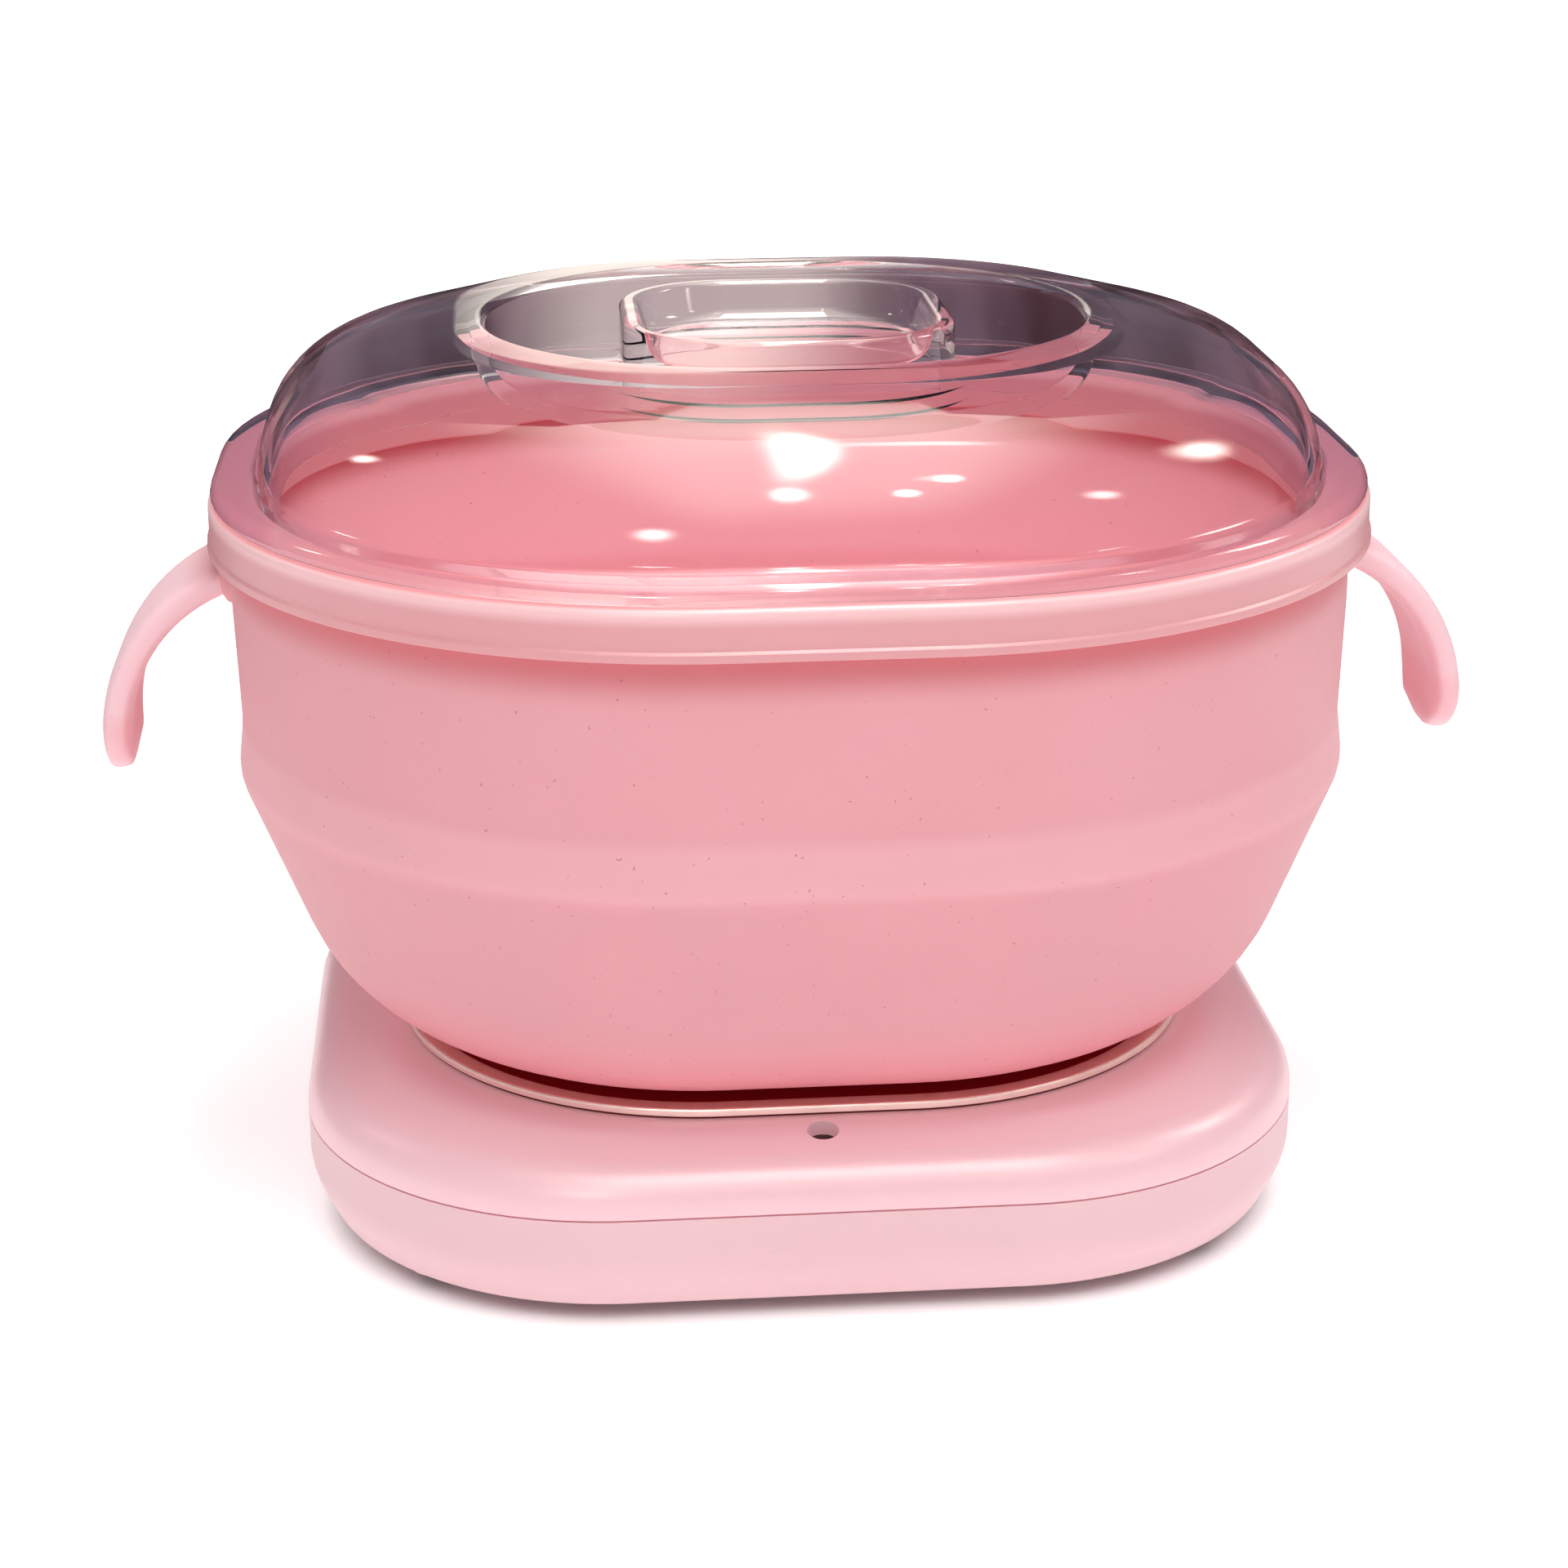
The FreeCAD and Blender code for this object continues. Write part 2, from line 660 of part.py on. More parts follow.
def board_screws():
    low = board_top - BOARD_SCREW_LENGTH
    high = board_top + BOARD_SCREW_HEAD
    points = [(0, low, 0), (BOARD_SCREW_RADIUS, low, 0), (BOARD_SCREW_RADIUS, board_top, 0),
              (BOARD_SCREW_HEAD_RADIUS, board_top, 0), (BOARD_SCREW_HEAD_RADIUS, high, BOARD_SCREW_HEAD / 2),
              (0, high, 0)]
    return group([turned_body(points, x, led_y) for x in (-BOARD_SCREW_X, BOARD_SCREW_X)])


def indicator_led():
    foot = board_top + LED_FLANGE
    top = foot + LED_BODY
    body = post(LED_RADIUS, 0, led_y, foot, top).fuse(post(LED_FLANGE_RADIUS, 0, led_y, board_top, foot))
    return body.fuse(Part.makeSphere(LED_RADIUS, V(0, led_y, top), UP, 0, 90, 360))


def board_resistor():
    y = led_y - RESISTOR_LENGTH / 2
    return Part.makeCylinder(RESISTOR_RADIUS, RESISTOR_LENGTH, V(RESISTOR_X, y, board_top + RESISTOR_RADIUS),
                             V(0, 1, 0))


# Base: rear niche

def stadium(x, width, height, y0, y1):
    """Upright oval bar along Y, centred in the niche."""
    radius = height / 2
    reach = width / 2 - radius
    bars = [Part.makeCylinder(radius, y1 - y0, V(x + side * reach, y0, niche_level), V(0, 1, 0))
            for side in (-1, 1)]
    middle = box(x - reach, x + reach, y0, y1, niche_level - radius, niche_level + radius)
    return middle.fuse(bars)


def niche_block(x, width, height, y0, y1):
    return box(x - width / 2, x + width / 2, y0, y1, niche_level - height / 2, niche_level + height / 2)


socket_floor = panel + INLET_FLANGE_SHEET - SOCKET_DEPTH
inlet_back = panel - INLET_DEPTH
inlet_pin_places = [INLET_X + side * INLET_PIN_PITCH / 2 for side in (-1, 1)]
pivot = panel + SWITCH_BEZEL_SHEET - ROCKER_HALF_THICK - ROCKER_PIVOT_SINK + ROCKER_DIP
switch_back = panel - SWITCH_DEPTH
switch_tab_places = [SWITCH_X + side * SWITCH_WIDTH / 4 for side in (-1, 1)]


def power_inlet():
    front = panel + INLET_FLANGE_SHEET
    body = niche_block(INLET_X, INLET_WIDTH, INLET_HEIGHT, inlet_back, panel)
    flange = niche_block(INLET_X, INLET_WIDTH + 2 * INLET_FLANGE, INLET_HEIGHT + INLET_FLANGE, panel, front)
    inlet = body.fuse(flange).cut(stadium(INLET_X, SOCKET_WIDTH, SOCKET_HEIGHT, socket_floor, front))
    bores = [Part.makeCylinder(INLET_PIN_RADIUS + THREAD_FIT, INLET_DEPTH, V(x, inlet_back, niche_level),
                               V(0, 1, 0)) for x in inlet_pin_places]
    return inlet.cut(bores).removeSplitter()


def inlet_pins():
    start = inlet_back - INLET_PIN_TAIL
    length = socket_floor + INLET_PIN_REACH - start
    return group([Part.makeCylinder(INLET_PIN_RADIUS, length, V(x, start, niche_level), V(0, 1, 0))
                  for x in inlet_pin_places])


def switch_housing():
    front = panel + SWITCH_BEZEL_SHEET
    body = niche_block(SWITCH_X, SWITCH_WIDTH, SWITCH_HEIGHT, switch_back, panel)
    bezel = niche_block(SWITCH_X, SWITCH_WIDTH + 2 * SWITCH_BEZEL, SWITCH_HEIGHT + SWITCH_BEZEL,
                        panel, front)
    swing = ROCKER_LENGTH / 2 * math.sin(math.radians(ROCKER_TILT)) + ROCKER_HALF_THICK + ROCKER_ROOM
    well = niche_block(SWITCH_X, SWITCH_WIDTH - 2 * SWITCH_WALL, SWITCH_HEIGHT - 2 * SWITCH_WALL,
                       pivot - swing, front)
    bore = post(TRUNNION_RADIUS + TRUNNION_FIT, SWITCH_X, pivot, niche_level - SWITCH_HEIGHT / 2,
                niche_level + SWITCH_HEIGHT / 2)
    return body.fuse(bezel).cut([well, bore]).removeSplitter()


def switch_tabs():
    height = TAB_SHEET / 2
    return group([box(x - TAB_WIDTH / 2, x + TAB_WIDTH / 2, switch_back - TAB_LENGTH, switch_back,
                      niche_level - height, niche_level + height) for x in switch_tab_places])


def switch_rocker():
    half = ROCKER_LENGTH / 2
    thick = ROCKER_HALF_THICK
    well_height = SWITCH_HEIGHT - 2 * SWITCH_WALL
    height = well_height - 2 * ROCKER_SIDE_FIT
    corners = [V(-half, -thick, 0), V(half, -thick, 0), V(half, thick, 0), V(0, thick - ROCKER_DIP, 0),
               V(-half, thick, 0), V(-half, -thick, 0)]
    rocker = Part.Face(Part.makePolygon(corners)).extrude(V(0, 0, height))
    rocker.translate(V(0, 0, -height / 2))
    reach = well_height / 2 + SWITCH_WALL / 2
    rocker = rocker.fuse(Part.makeCylinder(TRUNNION_RADIUS, 2 * reach, V(0, 0, -reach)))
    rocker.rotate(CENTRE, UP, -ROCKER_TILT)
    rocker.translate(V(SWITCH_X, pivot, niche_level))
    return rocker


# Base: insulated leads between the terminals

def lead_wires():
    neutral, live = inlet_pin_places
    switched, tail = switch_tab_places[1], inlet_back - INLET_PIN_TAIL
    tab_end = switch_back - TAB_LENGTH
    drop = pin_end - 2 * LEAD_BEND
    fuse_end = FUSE_LENGTH / 2 + FUSE_LEAD
    tab_y = STRAP_WIDTH / 2 + TAB_SHEET * 2
    tab_low = strap_top - TAB_LENGTH
    under_tab = tab_low - LEAD_RUN / 2
    board_edge = led_y + BOARD_DEPTH / 2
    board_mid = board_under + BOARD_SHEET / 2
    inlet_side = niche_level - INLET_PIN_RADIUS
    run_y = element_y - 2 * LEAD_RUN
    routes = [
        [(live, tail, niche_level), (live, tail - LEAD_RUN, niche_level),
         (switch_tab_places[0], tail - LEAD_RUN, niche_level), (switch_tab_places[0], tab_end, niche_level)],
        [(switched, tab_end, niche_level), (switched, FUSE_Y, niche_level), (switched, FUSE_Y, fuse_level),
         (fuse_end, FUSE_Y, fuse_level)],
        [(-fuse_end, FUSE_Y, fuse_level), (neutral, FUSE_Y, fuse_level), (neutral, FUSE_Y, under_tab),
         (neutral, -tab_y, under_tab), (0, -tab_y, under_tab), (0, -tab_y, tab_low)],
        [(0, tab_y, tab_low), (0, tab_y, under_tab), (0, tab_y + LEAD_RUN, under_tab),
         (0, tab_y + LEAD_RUN, LEAD_HIGH), (drop, tab_y + 4 * LEAD_RUN, LEAD_HIGH),
         (drop, element_y, LEAD_HIGH), (drop, element_y, element_level),
         (pin_end, element_y, element_level)],
        [(-pin_end, element_y, element_level), (-drop, element_y, element_level),
         (-drop, element_y, LEAD_HIGH), (-drop, run_y, LEAD_HIGH), (neutral, run_y, LEAD_HIGH),
         (neutral, run_y, niche_level), (neutral, tail, niche_level)],
        [(BOARD_LEAD_X, board_edge, board_mid), (BOARD_LEAD_X, board_edge + LEAD_RUN, board_mid),
         (BOARD_LEAD_X, board_edge + 3 * LEAD_RUN, fuse_level),
         (BOARD_LEAD_X, FUSE_Y - FUSE_LEAD_RADIUS, fuse_level)],
        [(-BOARD_NEUTRAL_X, board_edge, board_mid), (-BOARD_NEUTRAL_X, board_edge + LEAD_RUN, board_mid),
         (neutral, board_edge + 3 * LEAD_RUN, LEAD_LOW), (neutral, tail + INLET_PIN_TAIL / 2, LEAD_LOW),
         (neutral, tail + INLET_PIN_TAIL / 2, inlet_side)],
    ]
    return group([tube(route, LEAD_RADIUS, LEAD_BEND) for route in routes])


# Soft bowl, divided at its two fold lines

def pot_bowl():
    chain = [
        (0, seat, 0),
        (RIM_CORNER - POT_FOOT_INSET, seat, POT_FOOT_RADIUS),
        (RIM_CORNER - HAUNCH_INSET, seat + HAUNCH_HEIGHT, HAUNCH_RADIUS),
        (wall_outside, crease, CREASE_RADIUS),
        (wall_outside, seat + POT_HEIGHT, 0),
    ]
    inside = offset_chain(chain, POT_WALL)
    slope_x = inside[2][0] - inside[1][0]
    slope_z = inside[2][1] - inside[1][1]
    floor = seat + POT_FLOOR
    inside[1] = (inside[1][0] + (floor - inside[1][1]) * slope_x / slope_z, floor, inside[1][2])
    inside[0] = (0, floor, 0)
    return round_body(pot_core, chain + inside[::-1])


# Rim collar, clamp ring and handles

def rim_collar():
    proud = RIM_CORNER + COLLAR_BEAD
    bead_top = collar_low + COLLAR_BEAD_HEIGHT
    return round_body(pot_core, [
        (RIM_CORNER - COLLAR_WALL, collar_low, 0), (proud, collar_low, COLLAR_BEAD / 2),
        (proud, bead_top, COLLAR_BEAD / 2), (RIM_CORNER, bead_top + COLLAR_BEAD, 0),
        (RIM_CORNER, collar_top, COLLAR_EDGE), (clamp_inside, collar_top, COLLAR_BEAD),
        (clamp_inside, web_under, 0), (RIM_CORNER - COLLAR_WALL, web_under, 0)])


def clamp_ring():
    low = collar_low - CLAMP_DROP
    return round_body(pot_core, [(clamp_inside, low, CLAMP_WALL / 4), (clamp_outside, low, CLAMP_WALL / 4),
                                 (clamp_outside, web_under, 0), (clamp_inside, web_under, 0)])


handle_x = pot_core[0] + RIM_CORNER + HANDLE_REACH - HANDLE_RADIUS
handle_z = collar_low - HANDLE_DROP


def handle():
    """Ear tab on the +X side: an arched strap with a shallow groove, on a pad against the wall."""
    outer, inner = HANDLE_RADIUS, HANDLE_RADIUS - HANDLE_THICK
    half, groove = HANDLE_WIDTH / 2, HANDLE_GROOVE_WIDTH / 2
    section = profile_face([
        (outer, -half, HANDLE_EDGE), (outer, half, HANDLE_EDGE), (inner, half, HANDLE_EDGE),
        (inner, groove + HANDLE_GROOVE, 0), (inner + HANDLE_GROOVE, groove, 0),
        (inner + HANDLE_GROOVE, -groove, 0), (inner, -groove - HANDLE_GROOVE, 0),
        (inner, -half, HANDLE_EDGE)])
    section.rotate(CENTRE, V(1, 0, 0), 90)
    strap = section.revolve(CENTRE, V(0, 1, 0), -(HANDLE_ROOT_ANGLE - HANDLE_TIP_ANGLE))
    strap.rotate(CENTRE, V(0, 1, 0), -HANDLE_TIP_ANGLE)
    strap.translate(V(handle_x, 0, handle_z))
    tip = handle_z + outer * math.sin(math.radians(HANDLE_TIP_ANGLE))
    corner = HANDLE_TIP_CORNER
    outline = profile_face([(-half, tip, corner), (half, tip, corner), (half, collar_low, 0),
                            (-half, collar_low, 0)])
    outline.rotate(CENTRE, UP, 90)
    strap = strap.common(outline.extrude(V(FAR, 0, 0)))
    pad_inside = wall_outside + PAD_FIT
    pad_outside = pad_inside + PAD_THICK
    pad_low = collar_low - PAD_HEIGHT
    pad = round_body(pot_core, [
        (pad_inside, pad_low, 0), (pad_inside + PAD_THICK / 3, pad_low, 0),
        (pad_outside, pad_low + PAD_CHAMFER, 0), (pad_outside, collar_low, 0), (pad_inside, collar_low, 0)])
    pad = pad.common(box(0, FAR, -PAD_WIDTH / 2, PAD_WIDTH / 2, 0, FAR))
    return pad.fuse(strap.cut(slab(pot_core, pad_inside, 0, collar_top))).removeSplitter()


# Clear lid with a recessed grip

def lid():
    flange_edge = RIM_CORNER - LID_FLANGE_INSET
    foot = RIM_CORNER - DOME_INSET
    dome = [
        (RIM_CORNER - SHOULDER_INSET, flange_top + SHOULDER_HEIGHT, SHOULDER_RADIUS),
        (RIM_CORNER - RIDGE_INSET, ridge_top, RIDGE_BLEND),
        (0, ridge_top, 0),
    ]
    outside = [(flange_edge, collar_top, LID_FLANGE_UNDER), (flange_edge, flange_top, LID_FLANGE_EDGE),
               (foot, flange_top, DOME_FILLET)] + dome
    inside = offset_chain([(foot, flange_top, 0)] + dome, LID_WALL)
    lip_outside = clamp_inside - LID_LIP_FIT
    lip_inside = lip_outside - LID_LIP_WALL
    lip = [(lip_inside, collar_top, 0), (lip_inside, collar_top - LID_LIP, 0),
           (lip_outside, collar_top - LID_LIP, 0), (lip_outside, collar_top, 0)]
    shell = round_body(pot_core, outside + inside[::-1] + lip)

    rim = RECESS_CORNER + RECESS_RIM
    cup = round_body(recess_core, skin([
        (rim, ridge_top, 0), (RECESS_CORNER, ridge_top, RECESS_EDGE),
        (RECESS_CORNER - RECESS_DRAFT, recess_floor, RECESS_FILLET), (0, recess_floor, 0)], LID_WALL))
    shell = shell.cut(slab(recess_core, rim, recess_floor, ridge_top + LID_WALL)).fuse(cup)

    top = recess_floor + GRIP_RISE
    dish = top - GRIP_DISH
    under = recess_floor - LID_WALL
    dish_edge = GRIP_CORNER - GRIP_RIM
    outer = round_body(grip_core, [
        (0, under, 0), (GRIP_CORNER, under, 0), (GRIP_CORNER, top, GRIP_EDGE), (dish_edge, top, GRIP_EDGE),
        (dish_edge - GRIP_DISH_SLOPE, dish, GRIP_DISH_FILLET), (0, dish, 0)])
    hollow = slab(grip_core, GRIP_CORNER - LID_WALL, under - LID_WALL, dish - LID_WALL)
    return shell.fuse(outer).cut(hollow).removeSplitter()


# Build every piece and write it out

bowl = pot_bowl()
right_handle = handle()

pieces = {
    "base_bottom_cover": base_bottom_cover(),
    "base_top_housing": base_top_housing(),
    "rubber_feet": rubber_feet(),
    "cover_screws": cover_screws(),
    "heater_plate": heater_plate(),
    "plate_seal": plate_seal(),
    "heater_tray": heater_tray(),
    "heating_element": heating_element(),
    "element_pins": element_pins(),
    "plate_studs": plate_studs(),
    "stud_nuts": stud_nuts(),
    "thermostat": thermostat(),
    "thermostat_strap": thermostat_strap(),
    "strap_rivets": strap_rivets(),
    "thermal_fuse": thermal_fuse(),
    "fuse_clip": fuse_clip(),
    "led_board": led_board(),
    "board_screws": board_screws(),
    "indicator_led": indicator_led(),
    "board_resistor": board_resistor(),
    "power_inlet": power_inlet(),
    "inlet_pins": inlet_pins(),
    "switch_housing": switch_housing(),
    "switch_tabs": switch_tabs(),
    "switch_rocker": switch_rocker(),
    "lead_wires": lead_wires(),
    "pot_bottom": bowl.common(band(0, fold_low)),
    "pot_fold_web": bowl.common(band(fold_low, fold_high)),
    "pot_upper_wall": bowl.common(band(fold_high, collar_top)),
    "rim_collar": rim_collar(),
    "clamp_ring": clamp_ring(),
    "handle_right": right_handle,
    "handle_left": mirrored(right_handle),
    "lid": lid(),
}

os.makedirs("parts", exist_ok=True)
for name, shape in pieces.items():
    shape.exportStep("parts/" + name + ".step")
    edges = shape.BoundBox
    print(name, "solids", len(shape.Solids), "valid", shape.isValid(), "volume", round(shape.Volume),
          "x", round(edges.XMin, 1), round(edges.XMax, 1), "y", round(edges.YMin, 1), round(edges.YMax, 1),
          "z", round(edges.ZMin, 2), round(edges.ZMax, 2))
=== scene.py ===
# %% [markdown]
# # A folding wax warmer pot
# The real object is a soft pink pot with a clear lid that stands on a heated base. The measured
# frame already holds every piece at its true size, so this lesson only dresses it: it adds smooth
# skins where the eye is critical, gives each piece a finish, and sets light and camera. The frame is
# loaded first because every later step hangs on its bodies.

# %% Load the measured frame
import bpy
import math
from collections import namedtuple
from mathutils import Matrix, Vector
from mathutils.interpolate import poly_3d_calc


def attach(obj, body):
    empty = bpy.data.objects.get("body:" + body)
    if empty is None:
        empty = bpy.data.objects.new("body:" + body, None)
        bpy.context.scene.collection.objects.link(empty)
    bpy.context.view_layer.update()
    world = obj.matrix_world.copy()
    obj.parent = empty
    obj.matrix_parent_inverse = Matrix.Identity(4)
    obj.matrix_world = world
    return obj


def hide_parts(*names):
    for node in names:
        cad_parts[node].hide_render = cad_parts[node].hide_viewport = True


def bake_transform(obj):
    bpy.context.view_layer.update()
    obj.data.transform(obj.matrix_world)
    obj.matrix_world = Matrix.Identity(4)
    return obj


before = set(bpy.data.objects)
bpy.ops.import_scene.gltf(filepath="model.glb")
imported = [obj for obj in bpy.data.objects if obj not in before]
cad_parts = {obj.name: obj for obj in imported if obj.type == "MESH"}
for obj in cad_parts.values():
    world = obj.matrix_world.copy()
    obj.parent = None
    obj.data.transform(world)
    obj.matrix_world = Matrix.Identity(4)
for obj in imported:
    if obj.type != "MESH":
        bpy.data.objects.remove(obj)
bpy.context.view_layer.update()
MM = 0.001

# %% [markdown]
# ## Writing finishes as arithmetic
# A finish could be wired by hand in the node editor, but a formula is easier to read and to change.
# One small class stands for a socket, so that noise times a number plus a number is written as just
# that. The reflected forms let the number stand first, as in one minus a mask.


# %% A socket that does sums
class Signal:
    def __init__(self, finish, socket):
        self.finish = finish
        self.socket = socket

    def sum_with(self, operation, first, second):
        return self.finish.node("ShaderNodeMath", {"operation": operation}, {0: first, 1: second})

    def __add__(self, other):
        return self.sum_with("ADD", self, other)

    def __sub__(self, other):
        return self.sum_with("SUBTRACT", self, other)

    def __rsub__(self, other):
        return self.sum_with("SUBTRACT", other, self)

    def __mul__(self, other):
        return self.sum_with("MULTIPLY", self, other)

    __radd__ = __add__
    __rmul__ = __mul__


print("a signal can add, subtract and multiply")

# %% [markdown]
# ## One finish, one material
# A finish is one material with one main shader. What is the same all over is set straight on the
# shader, and only what changes over the surface gets nodes. Every node could be made and linked line
# by line; one method that takes its type, its settings and its inputs is shorter. The methods after
# it are the patterns that several finishes share.


# %% One finish, with one way to make a node
class Finish:
    def __init__(self, name, **constants):
        self.material = bpy.data.materials.new(name)
        self.material.use_nodes = True
        self.tree = self.material.node_tree
        self.shader = self.tree.nodes["Principled BSDF"]
        for socket, value in constants.items():
            self.socket(socket).default_value = value
        self.place = self.node("ShaderNodeTexCoord", out="Object")

    def socket(self, name):
        """The shader's socket for a plain name: coat_ior stands for Coat IOR."""
        return self.shader.inputs[name.replace("_", " ").title().replace("Ior", "IOR")]

    def node(self, kind, settings=None, inputs=None, out=0):
        made = self.tree.nodes.new(kind)
        for name, value in (settings or {}).items():
            setattr(made, name, value)
        for name, value in (inputs or {}).items():
            if isinstance(value, Signal):
                self.tree.links.new(value.socket, made.inputs[name])
            else:
                made.inputs[name].default_value = value
        return Signal(self, made.outputs[out])

    def noise(self, per_metre, detail=2.0, stretch=(1, 1, 1)):
        where = self.node("ShaderNodeVectorMath", {"operation": "MULTIPLY"}, {0: self.place, 1: stretch})
        inputs = {"Vector": where, "Scale": per_metre, "Detail": detail}
        return self.node("ShaderNodeTexNoise", None, inputs)

    def height(self):
        return self.node("ShaderNodeSeparateXYZ", None, {0: self.place}, out="Z")

    def aside(self):
        """Distance to the left or the right of the middle."""
        across = self.node("ShaderNodeSeparateXYZ", None, {0: self.place}, out="X")
        return self.node("ShaderNodeMath", {"operation": "ABSOLUTE"}, {0: across})

    def reach(self, core):
        """Distance, seen from above, to a core with these half sizes in millimetres, a metre tall."""
        flat = self.node("ShaderNodeVectorMath", {"operation": "ABSOLUTE"}, {0: self.place})
        core = (core[0] * MM, core[1] * MM, 1)
        past = self.node("ShaderNodeVectorMath", {"operation": "SUBTRACT"}, {0: flat, 1: core})
        past = self.node("ShaderNodeVectorMath", {"operation": "MAXIMUM"}, {0: past, 1: (0, 0, 0)})
        return self.node("ShaderNodeVectorMath", {"operation": "LENGTH"}, {0: past}, out="Value")

    def ramp(self, value, low, high):
        """Mask that rises softly from 0 at low to 1 at high."""
        settings = {"interpolation_type": "SMOOTHSTEP", "clamp": True}
        inputs = {"Value": value, "From Min": low, "From Max": high}
        return self.node("ShaderNodeMapRange", settings, inputs)

    def blend(self, share, first, second):
        return self.node("ShaderNodeMix", {"data_type": "RGBA"}, {0: share, 6: first, 7: second}, out=2)

    def bump(self, height, distance, strength):
        inputs = {"Height": height, "Distance": distance, "Strength": strength}
        return self.node("ShaderNodeBump", None, inputs)

    def feed(self, **sockets):
        for socket, signal in sockets.items():
            self.tree.links.new(signal.socket, self.socket(socket))
        return self


def shade(red, green, blue):
    """Linear colour from the 0 to 255 numbers that a colour picker shows."""
    def linear(value):
        value = value / 255
        return value / 12.92 if value <= 0.04045 else ((value + 0.055) / 1.055) ** 2.4
    return (linear(red), linear(green), linear(blue), 1.0)


BLACK, WHITE = shade(0, 0, 0), shade(255, 255, 255)
print("white is", WHITE)

# %% [markdown]
# ## Soft silicone
# The pot and its ear tabs are matt silicone: pink and a little uneven, with a very fine grain and a
# few specks of dust that silicone always picks up. Noise at three scales gives the mottling, the grain
# and the specks. The height of the point sets painted light and shade: a painted highlight where the
# crease rolls to the light, painted shade on the web below it, a painted shadow just under the rim
# band and painted shade at the foot. The inside of the bowl and the tabs wear paler copies of the same
# silicone, painted lighter for the light they catch. This height is stored on the mesh, so that the
# tones stay with the skin wherever it is moved.

# %% Silicone
FOOT_SHADE_FULL, FOOT_SHADE_END = 28.0 * MM, 50.0 * MM
WEB_SHADE_FULL, WEB_SHADE_END = 69.0 * MM, 73.5 * MM
ROLL_START, ROLL_FULL, ROLL_FADE, ROLL_END = 71.0 * MM, 72.8 * MM, 78.5 * MM, 81.5 * MM
RIM_SHADE_START, RIM_SHADE_FULL = 100.5 * MM, 107.0 * MM
SPECK_START, SPECK_FULL = 0.83, 0.86


def silicone(name, main, other, web_shade_tone):
    finish = Finish(name, specular_ior_level=0.3, sheen_weight=0.02, sheen_roughness=0.5)
    cloud = finish.noise(per_metre=38, detail=3)
    grain = finish.noise(per_metre=2600, detail=2)
    dust = finish.noise(per_metre=1700, detail=0)
    height = finish.node("ShaderNodeAttribute", {"attribute_name": "rest_height"}, out="Fac")
    pink = finish.blend(cloud, main, other)
    # painted shade: deeper tone on the web below the crease
    web = 1 - finish.ramp(height, WEB_SHADE_FULL, WEB_SHADE_END)
    pink = finish.blend(web, pink, finish.blend(cloud, web_shade_tone, other))
    # painted highlight: paler band where the crease rolls to the light
    roll = finish.ramp(height, ROLL_START, ROLL_FULL) * (1 - finish.ramp(height, ROLL_FADE, ROLL_END))
    pink = finish.blend(roll * 0.5, pink, shade(247, 184, 192))
    # painted shadow just under the rim band
    under_rim_shadow = finish.ramp(height, RIM_SHADE_START, RIM_SHADE_FULL)
    pink = finish.blend(under_rim_shadow * 0.95, pink, shade(215, 118, 124))
    # painted shade at the foot of the bowl
    foot = 1 - finish.ramp(height, FOOT_SHADE_FULL, FOOT_SHADE_END)
    pink = finish.blend(foot * 0.6, pink, shade(240, 138, 149))
    speck = finish.ramp(dust, SPECK_START, SPECK_FULL)
    pink = finish.blend(speck * 0.6, pink, shade(180, 100, 110))
    roughness = 0.5 + cloud * 0.12
    return finish.feed(base_color=pink, roughness=roughness, normal=finish.bump(grain, 0.02 * MM, 0.5))


pot_silicone = silicone("pot_silicone", shade(236, 168, 175), shade(231, 160, 167), shade(220, 157, 164))
# painted light: the inside of the bowl and the tabs get paler copies of the pot's silicone for the light
# they catch
INNER, TAB = shade(254, 202, 209), shade(250, 208, 215)
inner_silicone_painted_lighter = silicone("inner_silicone_painted_lighter", INNER, shade(252, 195, 203), INNER)
tab_silicone_painted_lighter = silicone("tab_silicone_painted_lighter", TAB, shade(248, 203, 211), TAB)
print("made", pot_silicone.material.name, inner_silicone_painted_lighter.material.name, tab_silicone_painted_lighter.material.name)

# %% [markdown]
# ## Moulded plastics
# The rim band and the base are hard mouldings with a satin skin. Fine erosion texture shows as a
# weak bump, and a slow drift of tone keeps large faces from looking flat. Bands by height paint light
# and shade: a painted highlight on the top edge of the rim band and painted shade on its top face
# under the lid's flange, and a paler painted top on the base. The base housing is also painted with a
# faint glow that stands in for the light that gathers under the bowl. One recipe serves all the
# plastics, from the pale base to the black inlet.


# %% Plastic
def plastic(name, main, other, roughness=0.38, grain_depth=0.012, painted_shading_bands=(), **constants):
    """Painted shading bands are (start, full, tone) by height; these and the depth of the grain are
    millimetres.
    """
    finish = Finish(name, **constants)
    drift = finish.noise(per_metre=22, detail=2)
    grain = finish.noise(per_metre=1900, detail=2)
    colour = finish.blend(drift, main, other)
    # painted light and shade: tone bands by height
    for start, full, tone in painted_shading_bands:
        colour = finish.blend(finish.ramp(finish.height(), start * MM, full * MM), colour, tone)
    rough = roughness - 0.04 + drift * 0.08
    return finish.feed(base_color=colour, roughness=rough, normal=finish.bump(grain, grain_depth * MM, 0.6))


# painted light: paler top above the shoulder, and a faint painted glow for the light under the bowl
housing_plastic = plastic("housing_pink_plastic", shade(246, 206, 212), shade(243, 200, 207), 0.34,
                          painted_shading_bands=[(24.5, 27.3, shade(252, 222, 228))],
                          emission_color=shade(250, 196, 205), emission_strength=0.13)
cover_plastic = plastic("cover_pink_plastic", shade(248, 208, 213), shade(245, 202, 208), 0.36)
